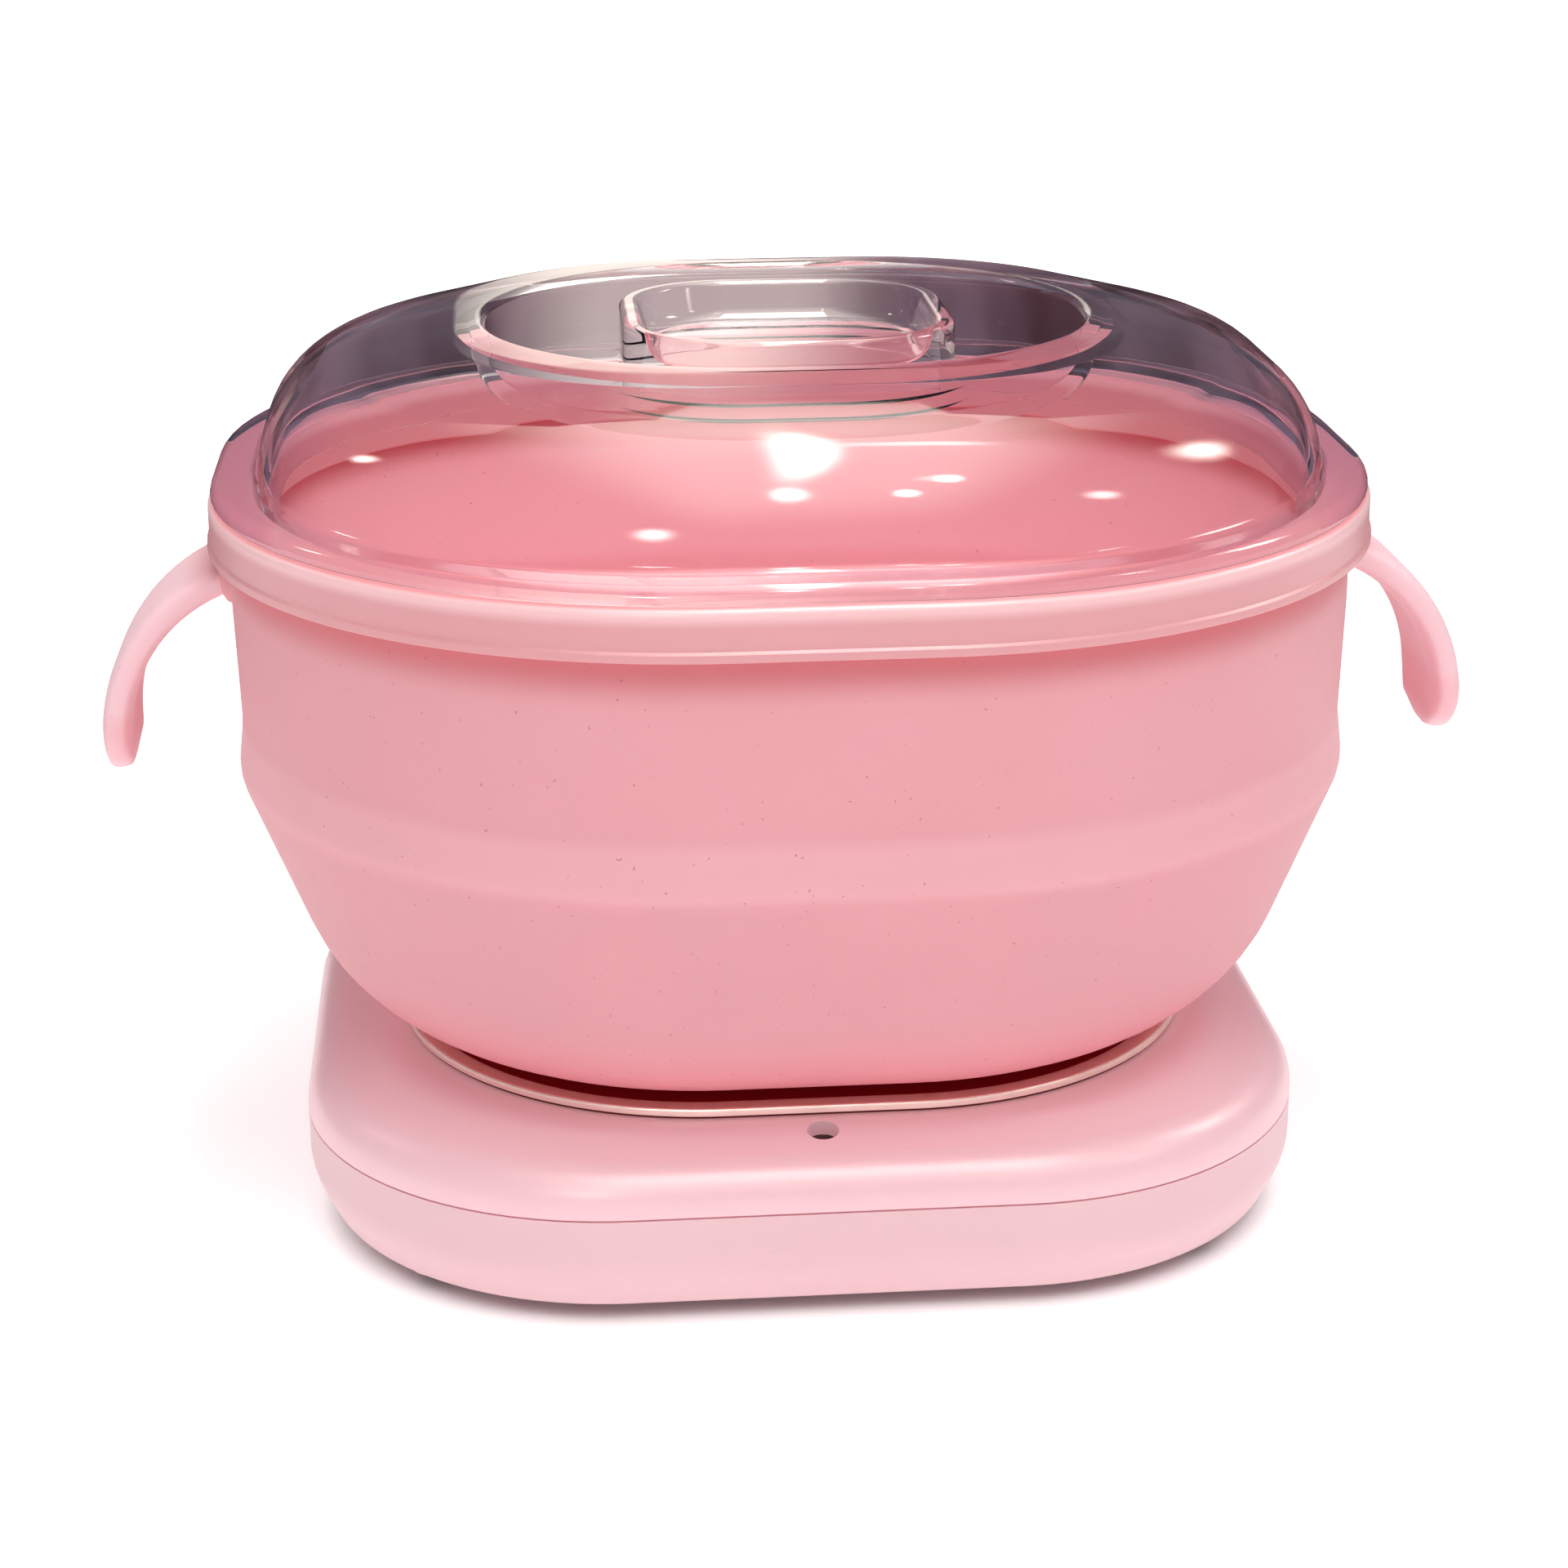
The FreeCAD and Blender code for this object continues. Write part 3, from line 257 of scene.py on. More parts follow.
# painted highlight along the top edge of the rim band, and painted shade on its top face under the lid's
# flange
collar_plastic = plastic("collar_pink_plastic", shade(228, 160, 164), shade(224, 155, 160), 0.36,
                         painted_shading_bands=[(113.2, 115.4, shade(250, 200, 203)), (115.7, 116.2, shade(242, 148, 154))])
black_plastic = plastic("black_plastic", shade(26, 26, 28), shade(34, 34, 36), 0.45, 0.02)
rocker_plastic = plastic("rocker_plastic", shade(20, 20, 22), shade(28, 28, 30), 0.25)
phenolic = plastic("brown_phenolic", shade(92, 58, 40), shade(70, 44, 30), 0.5, 0.03)
board_laminate = plastic("green_laminate", shade(20, 92, 48), shade(16, 80, 42), 0.35)
foot_rubber = plastic("grey_foot_rubber", shade(150, 146, 146), shade(138, 134, 134), 0.75, 0.04)
seal_rubber = plastic("red_seal_rubber", shade(120, 22, 28), shade(104, 16, 22), 0.6)
lead_sleeve = plastic("lead_sleeve", shade(228, 224, 216), shade(214, 208, 198), 0.55)
led_lens = plastic("red_lens", shade(196, 30, 30), shade(180, 22, 24), 0.2, transmission_weight=0.3)
print("made the plastics, from", housing_plastic.material.name, "to", led_lens.material.name)

# %% [markdown]
# ## Metals
# The plate is spun aluminium, the tray and the fasteners are plated steel and the terminals are
# brass. All show short scratches that run one way, so the noise is stretched along one axis before
# it drives roughness and a faint bump. The plate has a painted dark red ring round the foot of the
# pot, which stands for the pink bowl's reflection and shade, and outside it a painted highlight on
# its rolled rim; a faint painted red glow keeps it from going black under the bowl. Rings are told
# by their distance from the core of the pot's plan.

# %% Metal
POT_CORE = (14.5, 9.0)
ONE_WAY = (1, 12, 12)


def metal(name, main, other, roughness=0.3, rings=(), **constants):
    """Rings are painted tones (start, full, tone) by distance from the core, in millimetres."""
    finish = Finish(name, metallic=1.0, **constants)
    scratch = finish.noise(per_metre=500, detail=3, stretch=ONE_WAY)
    cloud = finish.noise(per_metre=60, detail=2)
    colour = finish.blend(cloud, main, other)
    for start, full, tone in rings:
        colour = finish.blend(finish.ramp(finish.reach(POT_CORE), start * MM, full * MM), colour, tone)
    rough = roughness - 0.08 + scratch * 0.16
    return finish.feed(base_color=colour, roughness=rough, normal=finish.bump(scratch, 0.01 * MM, 0.4))


# painted reflection and shade: dark red ring round the pot's foot; painted highlight on the rolled rim;
# faint painted red glow
plate_aluminium = metal("plate_aluminium", shade(222, 220, 216), shade(206, 204, 202), 0.4,
                        rings=[(36, 40, shade(170, 30, 38)), (46.4, 47.0, shade(255, 250, 240))],
                        emission_color=shade(150, 16, 24), emission_strength=0.12)
zinc_steel = metal("zinc_steel", shade(200, 202, 206), shade(182, 184, 190), 0.32)
tray_steel = metal("tray_steel", shade(188, 188, 186), shade(170, 170, 168), 0.4)
element_steel = metal("element_steel", shade(112, 108, 106), shade(90, 84, 82), 0.5)
terminal_brass = metal("terminal_brass", shade(224, 196, 128), shade(208, 176, 106), 0.28)
print("made the metals, from", plate_aluminium.material.name, "to", terminal_brass.material.name)

# %% [markdown]
# ## Clear plastic
# Thick clear plastic bends light so often inside its edges that they turn black in a render with few
# bounces. The lid is thin, so its bending hardly shows: a low index lets the light straight through,
# and a glossy coat gives the reflections. There are three of these finishes, because a mirror on both
# faces and in the recess would crowd the lid: the coat is full on top, weak on the underside and
# weakest in the recess. A slow ripple in the surface, as mouldings of this size have, lets the
# reflections wander a little. The ends of the flange are painted lilac, a painted reflection that
# stands in for how they look where the eye meets the plastic edge on.

# %% Clear plastic
END_START, END_FULL = 70.0 * MM, 87.0 * MM
END_LEVEL, END_LEVEL_TOP = 119.5 * MM, 122.0 * MM


def clear_plastic(name, ior, coat):
    finish = Finish(name, transmission_weight=1.0, ior=ior, coat_weight=coat, coat_ior=1.33,
                    coat_roughness=0.02)
    ripple = finish.noise(per_metre=30, detail=1)
    tint = finish.blend(ripple, shade(254, 253, 255), shade(252, 250, 254))
    at_flange = 1 - finish.ramp(finish.height(), END_LEVEL, END_LEVEL_TOP)
    # painted reflection: lilac tint on the ends of the flange
    flange_end_painted_tint = finish.ramp(finish.aside(), END_START, END_FULL) * at_flange
    tint = finish.blend(flange_end_painted_tint, tint, shade(228, 221, 238))
    roughness = 0.01 + ripple * 0.015
    return finish.feed(base_color=tint, roughness=roughness, normal=finish.bump(ripple, 0.4 * MM, 0.25))


lid_plastic = clear_plastic("clear_lid_plastic", ior=1.02, coat=1.0)
lid_underside = clear_plastic("clear_lid_underside", ior=1.02, coat=0.12)
lid_recess = clear_plastic("clear_lid_recess", ior=1.002, coat=0.04)
print("made", lid_plastic.material.name, lid_underside.material.name, lid_recess.material.name)

# %% [markdown]
# ## Give every measured piece its finish
# The solids keep their own meshes. Each could be given its material by a line of its own; a plain
# list of which piece is made of what is easier to check against the real object.

# %% Dress the solids
worn_by = {
    pot_silicone: ["pot_bottom", "pot_fold_web", "pot_upper_wall"],
    tab_silicone_painted_lighter: ["handle_left", "handle_right"],
    collar_plastic: ["rim_collar", "clamp_ring"],
    housing_plastic: ["base_top_housing"],
    cover_plastic: ["base_bottom_cover"],
    lid_plastic: ["lid"],
    plate_aluminium: ["heater_plate"],
    seal_rubber: ["plate_seal"],
    tray_steel: ["heater_tray", "thermostat_strap", "fuse_clip", "thermal_fuse"],
    element_steel: ["heating_element"],
    zinc_steel: ["cover_screws", "plate_studs", "stud_nuts", "strap_rivets", "board_screws"],
    terminal_brass: ["element_pins", "inlet_pins", "switch_tabs"],
    phenolic: ["thermostat", "board_resistor"],
    board_laminate: ["led_board"],
    led_lens: ["indicator_led"],
    black_plastic: ["power_inlet", "switch_housing"],
    rocker_plastic: ["switch_rocker"],
    foot_rubber: ["rubber_feet"],
    lead_sleeve: ["lead_wires"],
}
for finish, names in worn_by.items():
    for name in names:
        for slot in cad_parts[name].material_slots:
            slot.material = finish.material
print("dressed", sum(len(names) for names in worn_by.values()), "solids")

# %% [markdown]
# ## Plans
# Seen from above, the pot, its rim and its lid are all rounded rectangles: a small core rectangle
# grown outward by some reach. A modeller could push a cylinder into shape by hand; a ring of points
# worked out from the core and the reach is exact. The sizes of the pot and the lid are millimetres.

# %% Rings in plan
ARC_STEPS = 22


def plan_ring(core, reach, level):
    """Rounded rectangle at one level: half sizes of the core, and the reach outside it."""
    ring = []
    for quarter, (sx, sy) in enumerate(((1, 1), (-1, 1), (-1, -1), (1, -1))):
        for step in range(ARC_STEPS + 1):
            angle = math.radians(90 * (quarter + step / ARC_STEPS))
            across = sx * core[0] + reach * math.cos(angle)
            along = sy * core[1] + reach * math.sin(angle)
            ring.append((across, along, level))
    return ring


print("a ring has", len(plan_ring((1, 1), 1, 0)), "points")

# %% [markdown]
# ## Profiles
# Seen from the side, the bowl and the lid are lines of corners that are rounded off, as a draughtsman
# would draw them. A bevel could round a mesh afterwards; rounding the line first keeps each radius as
# it was meant. A wall is the same line moved sideways, with radii that keep its arcs parallel.

# %% Lines in profile
LONGEST_STEP = 4.0
ARC_DEGREES = 6


def turned(direction, angle):
    return Matrix.Rotation(angle, 2) @ direction


def rounded(corners):
    """Line through (reach, level, radius) corners, each one turned into an arc of its radius."""
    path = [Vector(corners[0][:2])]
    for before, here, after in zip(corners, corners[1:], corners[2:]):
        corner, radius = Vector(here[:2]), here[2]
        into = (corner - Vector(before[:2])).normalized()
        away = (Vector(after[:2]) - corner).normalized()
        turn = math.atan2(into.cross(away), into.dot(away))
        start = corner - into * radius * math.tan(abs(turn) / 2)
        inward = turned(into, math.copysign(math.pi / 2, turn))
        steps = max(1, round(abs(math.degrees(turn)) / ARC_DEGREES)) if radius else 0
        for step in range(steps + 1):
            path.append(start + inward * radius - turned(inward, turn * step / max(steps, 1)) * radius)
    path.append(Vector(corners[-1][:2]))
    fine = [path[0]]
    for point in path[1:]:
        last = fine[-1]
        pieces = math.ceil((point - last).length / LONGEST_STEP)
        fine += [last.lerp(point, piece / pieces) for piece in range(1, pieces + 1)]
    return fine


def thickened(corners, wall):
    """The same line one wall further in, on its left side, with radii that keep the arcs parallel."""
    inner = []
    for place, (reach, level, radius) in enumerate(corners):
        here = Vector((reach, level))
        into = (here - Vector(corners[place - 1][:2])).normalized() if place else None
        away = (Vector(corners[place + 1][:2]) - here).normalized() if place + 1 < len(corners) else into
        into = into or away
        turn = math.atan2(into.cross(away), into.dot(away))
        middle = turned((into + away).normalized(), math.pi / 2)
        moved = here + middle * wall / math.cos(turn / 2)
        inner.append((moved.x, moved.y, max(0, radius - wall * math.copysign(1, turn)) if radius else 0))
    return inner


print("a rounded corner takes", len(rounded([(0, 0, 0), (3, 0, 1), (3, 3, 0)])), "points")

# %% [markdown]
# ## Skins
# A moulding is one closed surface. Rings of equally many points are joined by bands of faces and
# closed by a cap at each end, which serves the bowl, the lid, the tabs and the pads alike. Each skin
# also remembers how high its points lie at rest, for the tones of the silicone.

# %% Skins
SHARP_FROM = math.radians(40)


def new_piece(name, points, faces):
    mesh = bpy.data.meshes.new(name)
    mesh.from_pydata(points, [], faces)
    piece = bpy.data.objects.new(name, mesh)
    bpy.context.scene.collection.objects.link(piece)
    return piece


def skin(name, rings):
    """Closed mesh through rings of equally many points, with a cap at each end."""
    count = len(rings[0])
    points = [Vector(point) * MM for ring in rings for point in ring]
    faces = [tuple(reversed(range(count))), tuple(range(len(points) - count, len(points)))]
    for low in range(0, len(points) - count, count):
        for step in range(count):
            after = (step + 1) % count
            faces.append((low + step, low + after, low + count + after, low + count + step))
    piece = new_piece(name, points, faces)
    rest = piece.data.attributes.new("rest_height", "FLOAT", "POINT")
    rest.data.foreach_set("value", [point.z for point in points])
    piece.data.shade_smooth()
    piece.data.set_sharp_from_angle(angle=SHARP_FROM)
    return piece


def wear(piece, *finishes):
    for finish in finishes:
        piece.data.materials.append(finish.material)
    return piece


def hide_from(piece, *rays):
    """Leave the piece out for these kinds of light rays."""
    for ray in rays:
        setattr(piece, "visible_" + ray, False)


print("edges stay sharp from", round(math.degrees(SHARP_FROM)), "degrees")

# %% [markdown]
# ## The soft bowl
# The bowl is one silicone moulding: a flat foot, a rounded haunch, a slanting web, a soft crease and
# an upright wall. The solid is cut in three so that it can fold, and its cuts would show as lines. Here
# it is a single skin, so that no cut shows. Just above the crease the wall draws in a little, so that
# this band faces up to the light and looks paler.

# %% Bowl
POT_WALL = 2.6
SEAT, BOWL_FLOOR, WALL_TOP = 28.0, 31.0, 114.1
WALL_REACH = 74.4
CREASE, WAIST, DRAW_IN = 72.3, 80.0, 0.9
DRAFT_LEVEL, DRAFT, TOP_DRAFT = 100.0, 0.3, 0.4
CENTRE_REACH = 0.5

bowl_outside = [
    (CENTRE_REACH, SEAT, 0), (40.2, SEAT, 10.8), (60.6, 37.2, 30), (WALL_REACH, CREASE, 6),
    (WALL_REACH - DRAW_IN, WAIST, 8), (WALL_REACH - DRAFT, DRAFT_LEVEL, 40),
    (WALL_REACH - TOP_DRAFT, WALL_TOP, 0)]
bowl_inside = thickened(bowl_outside, POT_WALL)
bowl_inside[0] = (CENTRE_REACH, BOWL_FLOOR, 0)
bowl_inside[1] = (bowl_inside[1][0], BOWL_FLOOR, bowl_inside[1][2])
outer_path = rounded(bowl_outside)
bowl_path = outer_path + rounded(bowl_inside)[::-1]
bowl_rings = [plan_ring(POT_CORE, *point) for point in bowl_path]
bowl = wear(skin("bowl_skin", bowl_rings), pot_silicone, inner_silicone_painted_lighter)
for face in bowl.data.polygons:
    face.material_index = int(min(face.vertices) >= len(outer_path) * len(bowl_rings[0]))
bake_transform(bowl)
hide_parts("pot_bottom", "pot_fold_web", "pot_upper_wall")
print("bowl rings:", len(bowl_path))

# %% [markdown]
# ## The ear tabs
# Each ear tab is a strap that leaves the wall under the rim, arches outward and hangs down to a
# rounded tip, with a shallow groove along its inner face. A bent box would do for the strap, but not
# for the tip. So it is swept along a quarter of a circle: the section is a rounded rectangle that
# shrinks to almost nothing at the tip, the way the edge of a disc does. The second tab is the first
# one turned half round.

# %% Ear tabs
TAB_CENTRE = Vector((80.4, 75.5))
TAB_RADIUS = 27.87
TAB_HALF_WIDTH, TAB_HALF_THICK = 12.5, 2.4
TAB_ROOT, TAB_TIP = 76.0, -14.0
TAB_STEPS, SECTION_STEPS = 40, 40
TAB_EDGE_POWER, TAB_FACE_POWER = 0.35, 0.6
TIP_LENGTH, TIP_REST = 10.0, 0.02
GROOVE_DEPTH, GROOVE_HALF_WIDTH = 1.0, 8.0


def signed_power(value, power):
    return math.copysign(abs(value) ** power, value)


def disc_share(inward, radius):
    """Half width of a disc this far in from its edge, as a share of its radius; 1 past its middle."""
    close = max(0.0, 1 - inward / radius)
    return math.sqrt(max(0.0, 1 - close ** 2))


def ear_tab(name, side):
    rings = []
    for step in range(TAB_STEPS + 1):
        share = 1 - (1 - step / TAB_STEPS) ** 2
        angle = math.radians(TAB_ROOT + (TAB_TIP - TAB_ROOT) * share)
        left = (1 - share) * math.radians(TAB_ROOT - TAB_TIP) * TAB_RADIUS
        width = TAB_HALF_WIDTH * disc_share(left, TIP_LENGTH) + TIP_REST
        thick = TAB_HALF_THICK * disc_share(left, TAB_HALF_THICK) + TIP_REST
        groove = GROOVE_DEPTH * thick / TAB_HALF_THICK
        ring = []
        for point in range(SECTION_STEPS):
            turn = 2 * math.pi * point / SECTION_STEPS
            across = width * signed_power(math.cos(turn), TAB_EDGE_POWER)
            out = thick * signed_power(math.sin(turn), TAB_FACE_POWER)
            if out < 0:
                out += groove * max(0.0, 1 - (across / GROOVE_HALF_WIDTH) ** 4)
            spot = TAB_CENTRE + Vector((math.cos(angle), math.sin(angle))) * (TAB_RADIUS + out)
            ring.append((side * spot.x, side * across, spot.y))
        rings.append(ring)
    tab = wear(skin(name, rings), tab_silicone_painted_lighter)
    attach(tab, "pot_rim")
    return tab


right_tab = ear_tab("ear_tab_right", 1)
left_tab = ear_tab("ear_tab_left", -1)
print("ear tabs:", right_tab.name, left_tab.name)

# %% [markdown]
# ## The pads behind the tabs
# Where a tab leaves the wall, the wall swells into a low pad. It could be a bump in the bowl's own
# skin, but the rings there are too coarse for its edge. A small skin of its own follows the round of
# the wall, sunk a little into it, and swells from its lower edge upward.

# %% Pads
PAD_LOW, PAD_HIGH, PAD_HALF_WIDTH, PAD_THICK = 98.0, 108.4, 14.0, 2.3
PAD_ROUND, PAD_STEPS, PAD_SINK = 4.0, 10, 0.5
PAD_EDGE_POWER, PAD_FACE_POWER = 0.5, 0.4


def tab_pad(name, side):
    rings = []
    for step in range(PAD_STEPS + 1):
        level = PAD_LOW + (PAD_HIGH - PAD_LOW) * (step / PAD_STEPS) ** 2
        swell = disc_share(level - PAD_LOW, PAD_ROUND)
        width = PAD_HALF_WIDTH - PAD_ROUND * (1 - swell)
        ring = []
        for point in range(SECTION_STEPS):
            turn = 2 * math.pi * point / SECTION_STEPS
            across = width * signed_power(math.cos(turn), PAD_EDGE_POWER)
            out = PAD_THICK * swell * max(0.0, signed_power(math.sin(turn), PAD_FACE_POWER)) - PAD_SINK
            reach = math.sqrt((WALL_REACH + out) ** 2 - max(0.0, abs(across) - POT_CORE[1]) ** 2)
            ring.append((side * (POT_CORE[0] + reach), side * across, level))
        rings.append(ring)
    pad = wear(skin(name, rings), pot_silicone)
    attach(pad, "pot_rim")
    return pad


right_pad = tab_pad("tab_pad_right", 1)
left_pad = tab_pad("tab_pad_left", -1)
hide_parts("handle_right")
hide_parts("handle_left")
print("pads:", right_pad.name, left_pad.name)

# %% [markdown]
# ## The clear lid
# The lid is one clear moulding: a flange that rests on the rim, a lip that drops inside it, a wide
# dome, an oval recess and a hollow grip that stands in it. It is drawn as one closed skin, from the
# middle of its underside outward, round the lip and the flange, and back over the top. Three plans
# share the work, because the dome, the recess and the grip are ovals of different proportions. The lid
# casts no shadow and takes no part in diffuse light, so that the bowl inside stays as bright as it is
# in the picture.

# %% Lid
RECESS_CORE, GRIP_CORE = (6.05, 1.05), (8.0, 9.0)
LID_WALL = 2.4
LIP_LOW, RIM_LEVEL, FLANGE_TOP, RIDGE = 111.3, 116.4, 119.1, 140.8
RECESS_FLOOR, GRIP_DISH, GRIP_TOP = 131.4, 135.1, 141.1
LIP_INSIDE, LIP_OUTSIDE, FLANGE_REACH = 66.9, 68.7, 76.4

grip_inside = [(CENTRE_REACH, GRIP_DISH - LID_WALL, 0), (15.6, GRIP_DISH - LID_WALL, 1.5),
               (15.6, RECESS_FLOOR - LID_WALL, 1), (20, RECESS_FLOOR - LID_WALL, 0)]
recess_inside = [(26, RECESS_FLOOR - LID_WALL, 0), (42, RECESS_FLOOR - LID_WALL, 5),
                 (44, RIDGE - LID_WALL, 0.5), (46, RIDGE - LID_WALL, 0)]
dome_outside = [(37.5, RIDGE, 0), (38.3, RIDGE, 5), (66, 133.5, 18), (69.6, FLANGE_TOP, 1.6)]
dome_inside = thickened(dome_outside, -LID_WALL)
edge = [(LIP_INSIDE, RIM_LEVEL, 2), (LIP_INSIDE, LIP_LOW, 0.6), (LIP_OUTSIDE, LIP_LOW, 0.6),
        (LIP_OUTSIDE, RIM_LEVEL, 0), (FLANGE_REACH, RIM_LEVEL, 0.5), (FLANGE_REACH, FLANGE_TOP, 2)]
recess_outside = [(46, RIDGE, 0), (41.7, RIDGE, 1.6), (39.9, RECESS_FLOOR, 3), (26, RECESS_FLOOR, 0)]
grip_outside = [(20, RECESS_FLOOR, 0), (18, RECESS_FLOOR, 1), (18, GRIP_TOP, 1.2), (15.2, GRIP_TOP, 1.2),
                (13.2, GRIP_DISH, 2.5), (CENTRE_REACH, GRIP_DISH, 0)]
sections = [(GRIP_CORE, grip_inside), (RECESS_CORE, recess_inside),
            (POT_CORE, dome_inside + edge + dome_outside[::-1]),
            (RECESS_CORE, recess_outside), (GRIP_CORE, grip_outside)]
lid_rings = [plan_ring(core, *point) for core, corners in sections for point in rounded(corners)]
lid = wear(skin("lid_skin", lid_rings), lid_plastic, lid_underside, lid_recess)
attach(lid, "lid")
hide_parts("lid")
hide_from(lid, "shadow", "diffuse")
print("lid rings:", len(lid_rings))

# %% [markdown]
# ## Which face of the lid wears which coat
# The real lid is one plastic, but in the picture it is mostly its top that mirrors the room. Faces
# could be picked by hand; here the line that drew the lid is walked once more, and each of its rings
# gets a finish. The line starts on the underside and is on top once it has passed the flange's lower
# edge. The ridge round the recess has the full coat, and the foot of the grip the weakest.

# %% Coats by ring
TOP, UNDER, RECESS = range(3)
SECTION_FINISH = (RECESS, RECESS, UNDER, RECESS, TOP)
EDGE_START, EDGE_RISE = LIP_OUTSIDE + 1, RIM_LEVEL + 0.3
RIDGE_START = RIDGE - 1.6
FOOT_REACH, FOOT_LOW, FOOT_HIGH = 27, RECESS_FLOOR - LID_WALL, RECESS_FLOOR + 3


def ring_finishes():
    chosen = []
    for (_, corners), kind in zip(sections, SECTION_FINISH):
        for point in rounded(corners):
            if point.x > EDGE_START and point.y > EDGE_RISE:
                kind = TOP
            if point.y > RIDGE_START:
                chosen.append(TOP)
            elif point.x < FOOT_REACH and FOOT_LOW < point.y < FOOT_HIGH:
                chosen.append(RECESS)
            else:
                chosen.append(kind)
    return chosen


ring_finish = ring_finishes()
for face in lid.data.polygons:
    face.material_index = ring_finish[max(face.vertices) // len(lid_rings[0])]
print("rings with the full coat:", ring_finish.count(TOP))

# %% [markdown]
# ## Floor and backdrop
# The photograph shows the pot against white with a dark line under its front edge. A large white
# floor alone would turn grey away from the lamps, so it glows except close round the base, where the
# shadow stays. A white wall stands round it for low views; only the camera sees it, so that it sheds
# no light on the pot. The sizes of what stands round the pot are metres.

# %% Floor
BASE_CORE, BASE_CORNER = (30.0, 24.5), 50.0
SHADOW_FULL, SHADOW_END = 0.84 * BASE_CORNER * MM, 0.98 * BASE_CORNER * MM
FAR_START, FAR_FULL = 0.15, 0.6
NEAR_GLOW, ADDED_GLOW = 0.42, 0.56
FLOOR_SIZE = 12.0
BACKDROP_STEPS, BACKDROP_RADIUS, BACKDROP_HEIGHT = 48, 5.5, 8.0


def stage_piece(name, points, faces):
    piece = new_piece(name, points, faces)
    return piece


def flat_card(name, width, height):
    x, y = width / 2, height / 2
    return stage_piece(name, [(-x, -y, 0), (x, -y, 0), (x, y, 0), (-x, y, 0)], [(0, 1, 2, 3)])


def pale_floor():
    """White, and lit from within except close round the base, where the shadow stays."""
    finish = Finish("pale_floor", roughness=0.9, specular_ior_level=0.0, emission_strength=1.0)
    drift = finish.noise(per_metre=3, detail=2)
    reach = finish.reach(BASE_CORE)
    past_shadow = finish.ramp(reach, SHADOW_FULL, SHADOW_END)
    glow = past_shadow * (NEAR_GLOW + ADDED_GLOW * finish.ramp(reach, FAR_START, FAR_FULL))
    finish.feed(emission_color=finish.blend(glow, BLACK, WHITE))
    return finish.feed(base_color=finish.blend(drift, shade(250, 250, 250), shade(247, 247, 247)))


def backdrop():
    turns = [2 * math.pi * step / BACKDROP_STEPS for step in range(BACKDROP_STEPS)]
    points = [(BACKDROP_RADIUS * math.cos(turn), BACKDROP_RADIUS * math.sin(turn), level)
              for level in (0, BACKDROP_HEIGHT) for turn in turns]
    pairs = [(step, (step + 1) % BACKDROP_STEPS) for step in range(BACKDROP_STEPS)]
    faces = [(a, b, BACKDROP_STEPS + b, BACKDROP_STEPS + a) for a, b in pairs]
    wall = stage_piece("backdrop", points, faces)
    hide_from(wall, "diffuse", "glossy", "transmission", "shadow")
    return wall


floor_finish = pale_floor()
wear(flat_card("floor", FLOOR_SIZE, FLOOR_SIZE), floor_finish)
wall = wear(backdrop(), floor_finish)
print("floor laid, wall of", len(wall.data.polygons), "faces")

# %% [markdown]
# ## Light
# The pot is lit softly from all round, with a little more from above and from the front. An even
# white surround gives the first, and two large area lamps the second. The lid must not mirror the
# lamps as hard rectangles, so they are hidden from reflections.

# %% Surround and softboxes
SURROUND_COLOUR, SURROUND_STRENGTH = (1.0, 0.985, 0.98, 1.0), 0.265
LIGHT_AIM = Vector((0, 0, 0.08))
Softbox = namedtuple("Softbox", "name place size watts")
SOFTBOXES = [Softbox("front_light", place=(0.1, -0.6, 1.0), size=(0.9, 0.5), watts=4.0),
             Softbox("top_light", place=(0.0, 0.0, 1.0), size=(0.6, 0.6), watts=5.3)]

world = bpy.data.worlds.new("studio")
bpy.context.scene.world = world
world.use_nodes = True
surround = world.node_tree.nodes["Background"].inputs
surround["Color"].default_value = SURROUND_COLOUR
surround["Strength"].default_value = SURROUND_STRENGTH


def hang(box):
    light = bpy.data.lights.new(box.name, "AREA")
    light.shape = "RECTANGLE"
    light.size, light.size_y = box.size
    light.energy = box.watts
    lamp = bpy.data.objects.new(box.name, light)
    bpy.context.scene.collection.objects.link(lamp)
    lamp.location = box.place
    lamp.rotation_euler = (Vector(box.place) - LIGHT_AIM).to_track_quat("Z", "Y").to_euler()
    hide_from(lamp, "glossy", "transmission")


for box in SOFTBOXES:
    hang(box)
print("lights hung:", [box.name for box in SOFTBOXES])

# %% [markdown]
# ## Camera
# The photograph looks down on the front at about 19 degrees. A camera could be placed by eye; these
# values were fitted to the rims and edges in the picture, so that the render lies over it. The focal
# length is in pixels of the square picture, which turns into millimetres by the width of the sensor.

# %% Camera
PICTURE, FOCAL_PIXELS, SENSOR = 1920, 4062.54, 36.0
TARGET = Vector((-0.5, 0.0, 61.12)) * MM
ELEVATION, AZIMUTH, ROLL = math.radians(18.97), math.radians(-4.66), math.radians(-0.34)
DISTANCE = 553.03 * MM

